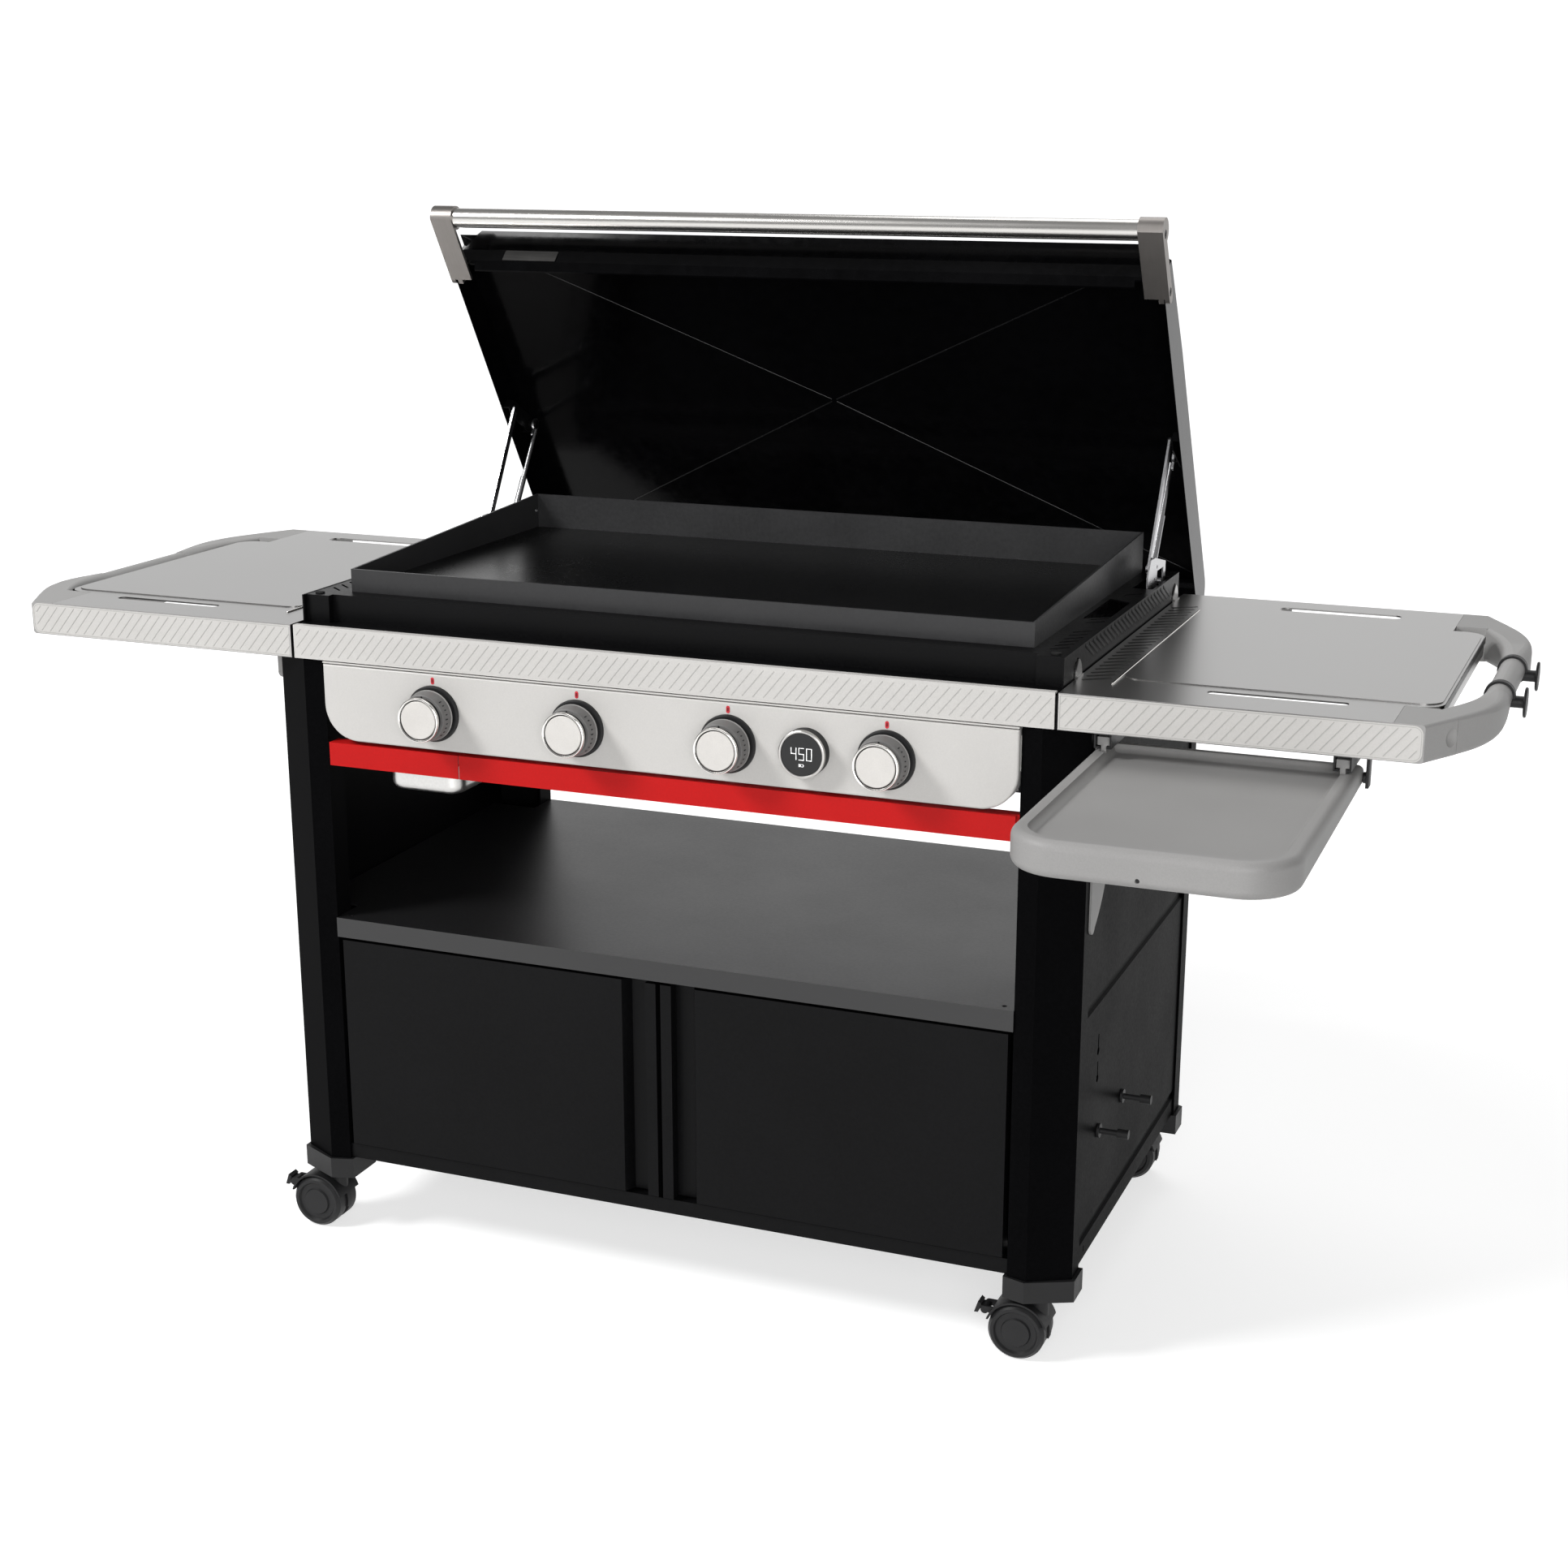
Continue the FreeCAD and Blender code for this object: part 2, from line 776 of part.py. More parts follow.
def greaseRunners():
    rear = redFront + redDepth + greaseLength + 70
    deck = greaseDeck
    runners = []
    for side, x in ((-1, frameLeft), (1, frameRight)):
        wall = x + side * runFit
        inner, outer = wall - side * runnerLip, wall + side * sheet
        lips = []
        for z0 in (deck - sheet - runFit - sheet, deck + runFit + cupRim):
            lips.append(box(min(wall, inner), max(wall, inner), fireFront, rear, z0, z0 + sheet))
        plate = box(min(wall, outer), max(wall, outer), fireFront, rear, deck - 2 * sheet - runFit, fireBottom)
        runners += lips + [plate]
    return runners


def drainHole(z0, z1):
    return box(drainLeft, drainRight, drainFront, drainFront + drainDepth, z0, z1)


def greaseChute():
    top = ledgeTop - 2 * sheet
    outer = box(drainLeft - sheet, drainRight + sheet, drainFront - 3, fireFront, redTop + 2, top)
    inner = box(drainLeft, drainRight, drainFront, drainFront + drainDepth, redTop, top + 1)
    return outer.cut(inner)


# Burners, manifold and valves
def burners():
    tubes = []
    for x in knobPlaces():
        mouth = stemEnd() + 32.0
        end = fireRear - sheet - 30.0
        tube = bar(at(x, mouth, knobZ), at(x, end, knobZ), burnerRadius)
        tube = tube.cut(bar(at(x, mouth, knobZ), at(x, end - 2, knobZ), burnerRadius - 1.5))
        pin = bar(at(x, end, knobZ), at(x, fireRear - sheet, knobZ), 5)
        slots = []
        for i in range(8):
            y = fireFront + 60 + i * 48
            slots.append(box(x - 1.5, x + 1.5, y, y + 30, knobZ + burnerRadius - 4, knobZ + burnerRadius + 1))
        tubes.append(fuse([cut(tube, slots), pin]))
    return tubes


def gasManifold():
    half = valveSize / 2
    y0 = panelFace + panelDepth + 2
    y1 = stemEnd() + 12
    pipeY = (y0 + y1) / 2
    pipeZ = knobZ - manifoldDrop
    reach = 1.5 * knobPitch + 25
    pieces = [bar(at(-reach, pipeY, pipeZ), at(panelHalf - 12, pipeY, pipeZ), manifoldRadius)]
    pieces.append(bar(at(panelHalf - 30, pipeY, pipeZ), at(panelHalf - 8, pipeY, pipeZ), 1.4 * manifoldRadius))
    for x in knobPlaces():
        body = box(x - half, x + half, y0, y1, pipeZ, knobZ + half)
        nozzle = bar(at(x, y1 - 1, knobZ), at(x, y1 + 12, knobZ), 4)
        bore = bar(at(x, y0 - 1, knobZ), at(x, stemEnd() + knobPush + 2, knobZ), stemShaft + pinFit)
        pieces.append(fuse([body, nozzle]).cut(bore))
    for x in (-knobPitch, knobPitch):
        pieces.append(box(x - 10, x + 10, pipeY, fireFront, pipeZ - 2, pipeZ + 2))
    return fuse(pieces)


# Cookbox surround: side walls, vented ledge, recessed front and corner blocks
def surround():
    wallInner = wallHalf - sheet
    ledgeBase = ledgeTop - sheet
    deckTop = bandTop - sheet
    front = recessFront
    ledge = box(-wallInner, wallInner, front, wallRear - sheet, ledgeBase, ledgeTop)
    opening = box(sheet - fireHalf, fireHalf - sheet, fireFront + sheet, fireRear - sheet, ledgeBase - 1, ledgeTop + 1)
    cutters = [opening, drainHole(ledgeBase - 1, ledgeTop + 1)]
    for cutter in ledgeVents() + [ledgePort(), supportNotch()]:
        cutters += [cutter, mirrorX(cutter)]
    pieces = [
        cut(ledge, cutters),
        box(-blockInner, blockInner, front, front + sheet, bandBottom, ledgeTop),
        box(-wallInner, wallInner, sheet, front + sheet, deckTop - sheet, deckTop),
        box(-wallInner, wallInner, wallRear - sheet, wallRear, bandBottom, wallTop),
    ]
    wall = box(wallInner, wallHalf, wallFront, wallRear, bandBottom, wallTop)
    parts = [
        cut(wall, [tabArch(y - 2, tabHalf + 4, tabRise + 2, wallInner - 1, wallHalf + 1) for y in tabPlaces]),
        box(blockInner, wallInner, blockFront, blockFront + sheet, deckTop, ledgeTop),
        box(blockInner, blockInner + sheet, blockFront, front + sheet, deckTop, ledgeTop),
        box(blockInner, wallInner, blockFront, front, ledgeBase, ledgeTop),
        box(legInner, wallHalf, sheet, cartDepth - sheet, bandBottom, bandBottom + sheet),
    ]
    return fuse(pieces + parts + [mirrorX(shape) for shape in parts])


def tabArch(y, half, rise, x0, x1):
    # pointed arch that stands on the table's height, for the hook tabs and the slots they pass through
    low = bandTop + 2
    top = at(x0, y, bandTop + rise)
    sides = []
    for side in (-1, 1):
        foot = at(x0, y + side * half, low)
        swell = at(x0, y + side * 0.72 * half, low + 0.6 * (rise - 2))
        sides.append(Part.Arc(foot, swell, top).toShape())
    base = Part.makeLine(at(x0, y - half, low), at(x0, y + half, low))
    face = Part.Face(Part.Wire([sides[0], sides[1], base]))
    return face.extrude(at(x1 - x0, 0, 0))


def ledgeVents():
    slots = []
    for place in ventPlaces:
        y = ventStart + place * ventPitch
        outline = [
            (ventInner, y),
            (ventOuter, y + ventLean),
            (ventOuter, y + ventLean + ventWidth),
            (ventInner, y + ventWidth),
        ]
        slots.append(plan(outline, ledgeTop - 2 * sheet, ledgeTop + 1))
    return slots


def ledgePort():
    # wide opening whose ends lean like the vents
    outline = [
        (portInner, portFront),
        (ventOuter, portFront + ventLean + 6),
        (ventOuter, portRear - ventLean),
        (portInner, portRear),
    ]
    return plan(outline, ledgeTop - 2 * sheet, ledgeTop + 1)


def supportNotch():
    return box(supportPlane - 18, supportPlane + 9, supportFront() - 1, supportRear() + 1, ledgeTop - 20, ledgeTop + 10)


def supportFront():
    return armLowY - 26


def supportRear():
    return rodLowY + rodLoopY + 12


# Griddle plate: rolled steel floor with welded walls that rise to the rear
def griddlePlate():
    side = [
        (plateFront, ledgeTop),
        (plateRear, ledgeTop),
        (plateRear, plateRearTop),
        (plateFront, plateFrontTop),
    ]
    half = plateHalf - plateWall
    front, rear = plateFront + plateWall, plateRear - plateWall
    inner = box(-half, half, front, rear, ledgeTop + plateFloor, plateRearTop + 1)
    holeY, holeZ = rear - 6, plateRearTop - 23
    hole = bar(at(-plateHalf - 1, holeY, holeZ), at(-plateHalf + 10, holeY, holeZ), 3)
    return cut(sideways(side, -plateHalf, plateHalf), [inner, drainHole(ledgeTop - 1, ledgeTop + plateFloor + 1), hole])


# Lid: built flat in s (to the rear) and t (up), then set into its open place
def lidPlace(shape):
    turned = shape.copy()
    turned.rotate(at(0, 0, 0), at(1, 0, 0), -lidLean)
    turned.translate(at(0, lidOriginY, lidOriginZ))
    return turned


def toLid(y, z):
    # s and t of a point given as the lid stands open
    dy, dz = y - lidOriginY, z - lidOriginZ
    c, s = cos(radians(lidLean)), sin(radians(lidLean))
    return dy * c - dz * s, dy * s + dz * c


def lidBlock(inset):
    # the lid's outer block, or with an inset the block of air inside its walls
    rear = lidRearS - inset
    line = lidFrontWall + [(lidCrownS, lidDepth), (lidRearS, lidDepth), (lidRearS, 0)]
    outline = offsetLine(line, -inset) if inset else line
    if inset:
        first, second = lidFrontWall[0], lidFrontWall[1]
        below = (outline[0][0] + first[0] - second[0], outline[0][1] + first[1] - second[1])
        outline = [below] + outline + [(rear, below[1])]
    block = sideways(outline, inset - lidHalf, lidHalf - inset)

    def rearTop(edge):
        bound = edge.BoundBox
        return bound.YLength < 0.01 and bound.ZLength < 0.01 and bound.YMin > rear - 1 and bound.ZMin > 1

    block = rounded(block, lidRearRadius - inset, rearTop)
    side, corner = lidHalf - inset, lidHalf - lidCornerRun
    crown = lidFrontWall[-1][0] + inset
    half = [(side, lidRearS + 1), (side, lidCornerS + inset), (corner, crown), (corner, crown - 1)]
    return block.common(plan(half + [(-x, s) for x, s in half[::-1]], -20, lidDepth + 1))


def lid():
    shell = lidBlock(0).cut(lidBlock(lidSheet))
    lipS = lidFrontWall[1][0]
    rim = box(-lidHalf - 1, lidHalf + 1, lipS + 17, lidRearS + 1, -12, 0)
    corner = box(lipHalf, lidHalf + 1, lipS - 30, bracketEnd + seatGap, -12, bracketFlat + seatGap)
    return lidPlace(cut(shell, [rim, corner, mirrorX(corner)]))


def lidHandle():
    start, end = at(-handleHalf, handleS, handleT), at(handleHalf, handleS, handleT)
    return lidPlace(bar(start, end, handleRadius).cut(bar(start, end, handleRadius - handleWall)))


def handleBracket():
    # ring round the tube, flat strap to the lid's corner, side plate that laps the wall, tongue inside it
    x0 = bracketInner
    x1 = lidHalf + seatGap
    x2 = x1 + bracketSide
    high = handleRadius + 3
    tall = bracketTop + bracketUnder
    ring = Part.makeCylinder(high, x2 - x0, at(x0, handleS, handleT), at(1, 0, 0))
    ring = ring.common(box(x0, x2, handleS - high, handleS + high, -bracketUnder, handleT + high))
    strap = box(x0, x1 + 1, handleS, bracketEnd, -bracketUnder, bracketFlat)
    endS, endT = bracketLap - tall / 2, bracketTop - tall / 2
    plate = box(x1, x2, handleS, endS, -bracketUnder, bracketTop)
    end = Part.makeCylinder(tall / 2, bracketSide, at(x1, endS, endT), at(1, 0, 0))
    tongue = box(x1 - 9, lidHalf - lidSheet, bracketEnd - 1, bracketEnd + 9, 1, bracketTop - 1)
    socket = bar(at(x0 - 1, handleS, handleT), at(handleHalf, handleS, handleT), handleRadius + pinFit)
    screws = [Part.makeCylinder(bracketScrew, 3, at(x2 - 2, handleS + 4, handleT - 2), at(1, 0, 0)),
              Part.makeCylinder(bracketScrew, 3, at(x2 - 2, endS - 8, endT), at(1, 0, 0))]
    return cut(fuse([ring, strap, plate, end, tongue]), [socket] + screws)


def handleBrackets():
    return [lidPlace(handleBracket()), lidPlace(mirrorX(handleBracket()))]


def bumpers():
    stud = Part.makeCylinder(6, bumperTop - ledgeTop, at(bumperX, bumperY, ledgeTop))
    return [stud, mirrorX(stud)]


# Lid linkage
def linkBar(y0, z0, y1, z1, width, x0, thick):
    run = at(0, y1 - y0, z1 - z0)
    length = run.Length
    angle = degrees(atan2(z1 - z0, y1 - y0))
    strip = box(x0, x0 + thick, 0, length, -width / 2, width / 2)
    ends = [Part.makeCylinder(width / 2, thick, at(x0, v, 0), at(1, 0, 0)) for v in (0, length)]
    body = fuse([strip] + ends)
    body.rotate(at(0, 0, 0), at(1, 0, 0), angle)
    body.translate(at(0, y0, z0))
    return body


def pinHole(y, z):
    return bar(at(rodPlane - 10, y, z), at(supportPlane + 20, y, z), linkPin + pinFit)


def lidArm():
    body = linkBar(armLowY, armLowZ, armHighY, armHighZ, armWidth, armPlane, armThick)
    return cut(body, [pinHole(armLowY, armLowZ), pinHole(armHighY, armHighZ)])


def lidRod():
    # eye at the top, thin rod, thick sleeve, and the lower pin that stands in the plate's window
    middle = rodPlane + rodThick - sleeveRadius
    low = at(middle, rodLowY, rodLowZ)
    high = at(middle, rodHighY, rodHighZ)
    run = high - low
    run.normalize()
    length = (high - low).Length
    sleeve = bar(low + run * 14, low + run * (0.52 * length), sleeveRadius)
    rod = bar(low + run * (0.5 * length), high - run * 9, rodRadius)
    topEye = bar(at(rodPlane, rodHighY, rodHighZ), at(rodPlane + rodThick, rodHighY, rodHighZ), 2.2 * linkPin)
    lowEye = bar(at(rodPlane, rodLowY, rodLowZ), at(rodPlane + rodThick, rodLowY, rodLowZ), 2 * linkPin)
    neckHigh = linkBar(rodHighY - run.y * 16, rodHighZ - run.z * 16, rodHighY, rodHighZ, 6, rodPlane, rodThick)
    neckLow = linkBar(rodLowY, rodLowZ, rodLowY + run.y * 20, rodLowZ + run.z * 20, 8, rodPlane, rodThick)
    pin = bar(at(rodPlane, rodLowY, rodLowZ), at(supportPlane + sheet + 1.5, rodLowY, rodLowZ), linkPin)
    return fuse([sleeve, rod, topEye.fuse(neckHigh), lowEye, neckLow, pin]).cut(pinHole(rodHighY, rodHighZ))


def pivot(y, z, planeX, thick, support):
    # pin with a shoulder on the support and a flat head inside the link
    shoulder = bar(at(planeX + thick + seatGap, y, z), at(support, y, z), 1.5 * linkPin)
    shaft = bar(at(planeX - 1.5, y, z), at(support, y, z), linkPin)
    head = bar(at(planeX - 1.5, y, z), at(planeX - seatGap, y, z), 1.5 * linkPin)
    return [shoulder, shaft, head]


def armPlate():
    y0, y1 = supportFront(), supportRear()
    low, high = rodLowZ - rodLoopZ - linkPin - 8, armLowZ + 13
    outline = [
        (y0, low),
        (y1, low),
        (y1, rodLowZ + rodLoopZ + linkPin + 6),
        (armLowY + 12, high),
        (armLowY - 12, high),
        (y0, armLowZ - 8),
    ]
    plate = sideways(outline, supportPlane, supportPlane + sheet)
    window = box(supportPlane - 1, supportPlane + sheet + 1, rodLowY - rodLoopY - linkPin - 1, rodLowY + rodLoopY,
                 rodLowZ - rodLoopZ - linkPin, rodLowZ + rodLoopZ + linkPin)
    holes = []
    for y, z in ((armLowY - 14, armLowZ - 16), (armLowY + 11, armLowZ - 16), (armLowY + 24, armLowZ - 1)):
        holes.append(bar(at(supportPlane - 1, y, z), at(supportPlane + sheet + 1, y, z), 2.5))
    foot = box(supportPlane, wallHalf - sheet, y0, y1, low, low + sheet)
    return fuse([cut(plate, [window] + holes), foot] + pivot(armLowY, armLowZ, armPlane, armThick, supportPlane))


def lidBracket():
    wall = lidHalf - lidSheet
    s1, t1 = toLid(armHighY, armHighZ)
    s2, t2 = toLid(rodHighY, rodHighZ)
    reach = 9.0
    outline = [
        (s1 - reach, 2.0),
        (s1 + reach, 2.0),
        (s2 + reach, t2 - reach),
        (s2 + reach, t2 + reach),
        (s2 - reach, t2 + reach),
        (s1 - reach, t1 + reach),
    ]
    plate = sideways(outline, supportPlane, supportPlane + sheet)
    webs = [box(supportPlane, wall, s1 - reach, s1 - reach + sheet, 2.0, t1 + reach),
            box(supportPlane, wall, s2 + reach - sheet, s2 + reach, t2 - reach, t2 + reach)]
    pins = pivot(s1, t1, armPlane, armThick, supportPlane) + pivot(s2, t2, rodPlane, rodThick, supportPlane)
    return lidPlace(fuse([plate] + webs + pins))


# Side tables
def table():
    z0, z1 = bandBottom, bandTop
    outer = box(tableInner, tableSeam, 0, cartDepth, z0, z1)
    inner = box(tableInner + sheet, tableSeam - sheet, sheet, cartDepth - sheet, z0 - 1, z1 - sheet)
    lips = [box(tableInner, tableSeam, y, y + 20, z0, z0 + sheet) for y in (0, cartDepth - 20)]
    start = tableSeam - 60
    tongue = roundedPlan(start, tongueOuter, tongueFront, tongueRear, z1 - tongueDrop, z1, tongueCorner)
    hollow = roundedPlan(start - 1, tongueOuter - sheet, tongueFront + sheet, tongueRear - sheet,
                         z1 - tongueDrop - 1, z1 - sheet, tongueCorner - sheet)
    tongue = tongue.cut(hollow).common(box(tableSeam - 1, tongueOuter, 0, cartDepth, z0, z1))
    pad = roundedPlan(padInner, tongueOuter - 3, padFront, padRear, z1 - 1, z1 + padRise, tongueCorner - 3)
    slots = [
        roundedPlan(slotLeft, slotRight, slotFront, slotRear, z1 - 5, z1 + 5, 9),
        roundedPlan(slitLeft, slitRight, slitFront, slitRear, z1 - 5, z1 + 5, 6),
        box(slotLeft + 6, slotRight - 5, cartDepth - sheet - 1, cartDepth + 1, z0 + 3, z1 - 6),
    ]
    tabs = []
    for y in tabPlaces:
        tabs.append(tabArch(y, tabHalf, tabRise, wallHalf, tableInner))
        tabs.append(box(wallHalf, tableInner + sheet, y - tabHalf, y + tabHalf, z1 - 30, z1 + 2))
    return fuse([cut(fuse([outer.cut(inner), tongue, pad] + lips), slots)] + tabs)


def castingRing(x, y, z, heading, halfWide, halfHigh, corner):
    # rounded rectangle across the heading, four quarter arcs joined by lines
    across = at(sin(radians(heading)), -cos(radians(heading)), 0)
    wide, high = halfWide - corner, halfHigh - corner
    arcs = []
    for i, (a, b) in enumerate([(wide, high), (-wide, high), (-wide, -high), (wide, -high)]):
        turns = [radians(90 * i + 45 * j) for j in range(3)]
        arcs.append([at(x, y, z) + across * (a + corner * cos(t)) + at(0, 0, b + corner * sin(t)) for t in turns])
    edges = []
    for i, points in enumerate(arcs):
        edges.append(Part.Arc(*points).toShape())
        edges.append(Part.makeLine(points[2], arcs[(i + 1) % 4][0]))
    return Part.Wire(edges)


def armRing(t):
    # the arm's section at the share t of its way, along a curve with two guide points
    guides = [at(castingCornerX + 12, 60, 0), at(castingCornerX + 52, 129, 0), at(tubeX, 160, 0), at(tubeX, castingEnd, 0)]
    weights = [(1 - t) ** 3, 3 * t * (1 - t) ** 2, 3 * t ** 2 * (1 - t), t ** 3]
    slopes = [-3 * (1 - t) ** 2, 3 * (1 - t) * (1 - 3 * t), 3 * t * (2 - 3 * t), 3 * t ** 2]
    spot = at(0, 0, 0)
    way = at(0, 0, 0)
    for guide, weight, slope in zip(guides, weights, slopes):
        spot += guide * weight
        way += guide * slope
    end = tubeRadius + castingWall
    tall = (bandTop - bandBottom) / 2
    middle = (bandBottom + bandTop) / 2
    late = t ** 2
    return castingRing(
        spot.x,
        spot.y,
        middle + (tubeZ - middle) * late,
        degrees(atan2(way.y, way.x)),
        19 + (end - 19) * late,
        tall + (end - tall) * late,
        4.5 + (end - 0.3 - 4.5) * t ** 1.5,
    )


def endCasting():
    # a block at the table's corner, then an arm that sweeps round into the socket of the hoop tube
    reach = tongueFront - seatGap
    outline = [
        (tableSeam + seatGap, 0),
        (castingCornerX, 0),
        (castingCornerX + 28, 50),
        (castingCornerX + 4, reach),
        (tableSeam + seatGap, reach),
    ]
    block = plan(outline, bandBottom, bandTop)

    def outerEdge(edge):
        bound = edge.BoundBox
        return bound.ZLength < 0.01 and bound.XMin > castingCornerX - 1 and bound.YMax < 51

    block = rounded(block, 4, outerEdge)
    middle = (bandBottom + bandTop) / 2
    arm = Part.makeLoft([armRing(i / 6) for i in range(7)], True, False)
    socket = bar(at(tubeX, tubeStart - seatGap, tubeZ), at(tubeX, castingEnd + 1, tubeZ), tubeRadius + pinFit)
    sink = dimpleRadius * 0.7
    dimple = Part.makeSphere(dimpleRadius, at(castingCornerX + 23.4 + sink * 0.87, 41.8 - sink * 0.49, middle))
    return cut(fuse([block, arm]), [socket, dimple])


def endCastings():
    right = [endCasting(), mirrorY(endCasting())]
    return right + [mirrorX(shape) for shape in right]


def hoopTube():
    start, end = at(tubeX, tubeStart, tubeZ), at(tubeX, cartDepth - tubeStart, tubeZ)
    return bar(start, end, tubeRadius).cut(bar(start, end, tubeRadius - tubeWall))


def toolHook(y):
    # ring clamped at the casting's mouth, with a peg and a flat disc on its outer side
    half = hookWidth / 2
    level = tubeZ - hookDrop
    outer = tubeX + 32
    clamp = bar(at(tubeX, y - half, tubeZ), at(tubeX, y + half, tubeZ), tubeRadius + hookRing)
    peg = bar(at(tubeX + tubeRadius - 2, y, level), at(outer - 3, y, level), hookPeg)
    disc = revolvedX([(0, outer - 5), (hookDisc - 1, outer - 4), (hookDisc, outer - 2.5), (hookDisc - 1, outer - 1), (0, outer)], y, level)
    bore = bar(at(tubeX, y - 2 * hookPeg, tubeZ), at(tubeX, y + 2 * hookPeg, tubeZ), tubeRadius + pinFit)
    return fuse([clamp, peg, disc]).cut(bore)


def toolHooks():
    return [toolHook(y) for y in hookPlaces]


def tableBraces():
    x0 = legOuter
    edges = [
        Part.makeLine(at(x0, 45, bandBottom), at(x0, 45, 556)),
        Part.Arc(at(x0, 45, 556), at(x0, 54, 547), at(x0, 64, 553)).toShape(),
        Part.Arc(at(x0, 64, 553), at(x0, 104, 592), at(x0, 128, 680)).toShape(),
        Part.makeLine(at(x0, 128, 680), at(x0, 134, bandBottom)),
        Part.makeLine(at(x0, 134, bandBottom), at(x0, 45, bandBottom)),
    ]
    blade = Part.Face(Part.Wire(edges)).extrude(at(legSheet, 0, 0))
    short = box(x0, x0 + 8.5, legCorner + 3, legCorner + 3 + legSheet, 770, bandBottom)
    short = rounded(short, 6, lambda edge: edge.BoundBox.XMin > x0 + 8 and edge.BoundBox.ZMax < 771)
    side = box(x0, x0 + legSheet, legCorner + 3, legSideEnd, 770, bandBottom)
    return [blade, mirrorX(fuse([short, side]))]


# Pull-out tray and its runners
def runnerPlaces():
    return [trayInner + runnerInset, trayOuter - runnerInset - runnerWidth]


def trayRunners():
    top = bandBottom
    low = top - runnerHeight
    pieces = []
    for x in runnerPlaces():
        tube = box(x, x + runnerWidth, 4, cartDepth - 4, low, top)
        inside = box(x + sheet, x + runnerWidth - sheet, 3, cartDepth - 4 - sheet, low + sheet, top - sheet)
        slot = box(x + 6, x + runnerWidth - 6, 3, cartDepth - 4 - sheet, low - 1, low + sheet + 1)
        pieces.append(tube.cut(inside).cut(slot))
    strapX = trayOuter + 4.5
    strap = box(strapX, strapX + 3, 52, 68, 758, top)
    roller = bar(at(trayOuter + 0.5, 60, 768), at(strapX, 60, 768), 6)
    shelfLip = box(trayOuter - runnerInset - 1, strapX + 3, 52, 68, top - sheet, top)
    pieces.append(fuse([strap, roller, shelfLip]))
    return fuse(pieces)


def frontUpright(front):
    return lambda edge: upright(edge) and edge.BoundBox.YMax < front + 1


def pullTray():
    side = [(trayFront, trayFrontBottom), (trayRear, trayBottom), (trayRear, trayTop), (trayFront, trayTop)]
    block = rounded(sideways(side, trayInner, trayOuter), trayCorner, frontUpright(trayFront))
    block = rounded(block, trayRound, lambda edge: edge.BoundBox.ZMin > trayTop - 0.01)
    block = rounded(block, trayRound, lambda edge: edge.BoundBox.ZMax < trayBottom + 0.01)
    floor = trayTop - trayWell
    front = trayFront + trayRim
    well = box(trayInner + trayRim, trayOuter - trayRim, front, trayRear - trayRim, floor, trayTop + 1)
    well = rounded(well, trayCorner - trayRim, frontUpright(front))
    well = rounded(well, trayWell - 1, lambda edge: edge.BoundBox.ZMax < floor + 0.01)
    front = trayFront + traySkin
    under = box(trayInner + traySkin, trayOuter - traySkin, front, trayRear - traySkin, trayFrontBottom - 1, floor - traySkin)
    under = rounded(under, trayCorner - traySkin, frontUpright(front))
    hole = bar(at(trayHoleX, trayFront - 1, trayHoleZ), at(trayHoleX, front + 1, trayHoleZ), 2.5)
    pieces = [cut(block, [well, under, hole])]
    low = bandBottom - runnerHeight + sheet + runFit
    start = trayRear - 55
    for x in runnerPlaces():
        middle = x + runnerWidth / 2
        half = runnerWidth / 2 - sheet - runFit
        pieces.append(box(middle - half, middle + half, start, start + slideLength, low, bandBottom - sheet - 4))
        pieces.append(box(middle - 3, middle + 3, start, trayRear - 8, trayTop - 2, low + 1))
    return fuse(pieces)


# Every node, by name
def station():
    nodes = {
        "front_legs": frontLegs(),
        "rear_legs": rearLegs(),
        "foot_caps": footCaps(),
        "side_panel_left": mirrorX(sidePanel()),
        "side_panel_right": sidePanel(),
        "floor_panel": floorPanel(),
        "shelf": shelf(),
        "back_panel": backPanel(),
        "door_left": mirrorX(door()),
        "door_right": door(),
        "side_pegs": sidePegs(),
        "front_band": frontBand(),
        "control_panel": controlPanel(),
        "knob_bezels": knobBezels(),
        "display": display(),
        "tray_rail": trayRail(),
        "grease_tray": greaseTray(),
        "grease_cup": greaseCup(),
        "firebox": firebox(),
        "grease_chute": greaseChute(),
        "burners": burners(),
        "gas_manifold": gasManifold(),
        "surround": surround(),
        "griddle_plate": griddlePlate(),
        "lid": lid(),
        "lid_handle": lidHandle(),
        "handle_brackets": handleBrackets(),
        "bumpers": bumpers(),
        "arm_plates": [armPlate(), mirrorX(armPlate())],
        "lid_brackets": [lidBracket(), mirrorX(lidBracket())],
        "lid_arm_left": mirrorX(lidArm()),
        "lid_arm_right": lidArm(),
        "lid_rod_left": mirrorX(lidRod()),
        "lid_rod_right": lidRod(),
        "table_left": mirrorX(table()),
        "table_right": table(),
        "end_castings": endCastings(),
        "hoop_tubes": [hoopTube(), mirrorX(hoopTube())],
        "tool_hooks": toolHooks(),
        "table_braces": tableBraces(),
        "tray_runners": trayRunners(),
        "pull_tray": pullTray(),
    }
    for i, x in enumerate(knobPlaces()):
        nodes[f"knob_{i + 1}"] = knob(x)
        nodes[f"valve_stem_{i + 1}"] = valveStem(x)
    corners = {
        "front_left": (-1, casterY, True),
        "front_right": (1, casterY, True),
        "rear_left": (-1, cartDepth - casterY, False),
        "rear_right": (1, cartDepth - casterY, False),
    }
    for name, (side, y, braked) in corners.items():
        stem, hub, y = caster(side, y)
        nodes["caster_hood_" + name] = casterHood(stem, hub, y, braked)
        nodes["caster_wheels_" + name] = casterWheels(hub, y)
        if braked:
            nodes["brake_lever_" + name.split("_")[1]] = brakeLever(hub, y)
    return nodes


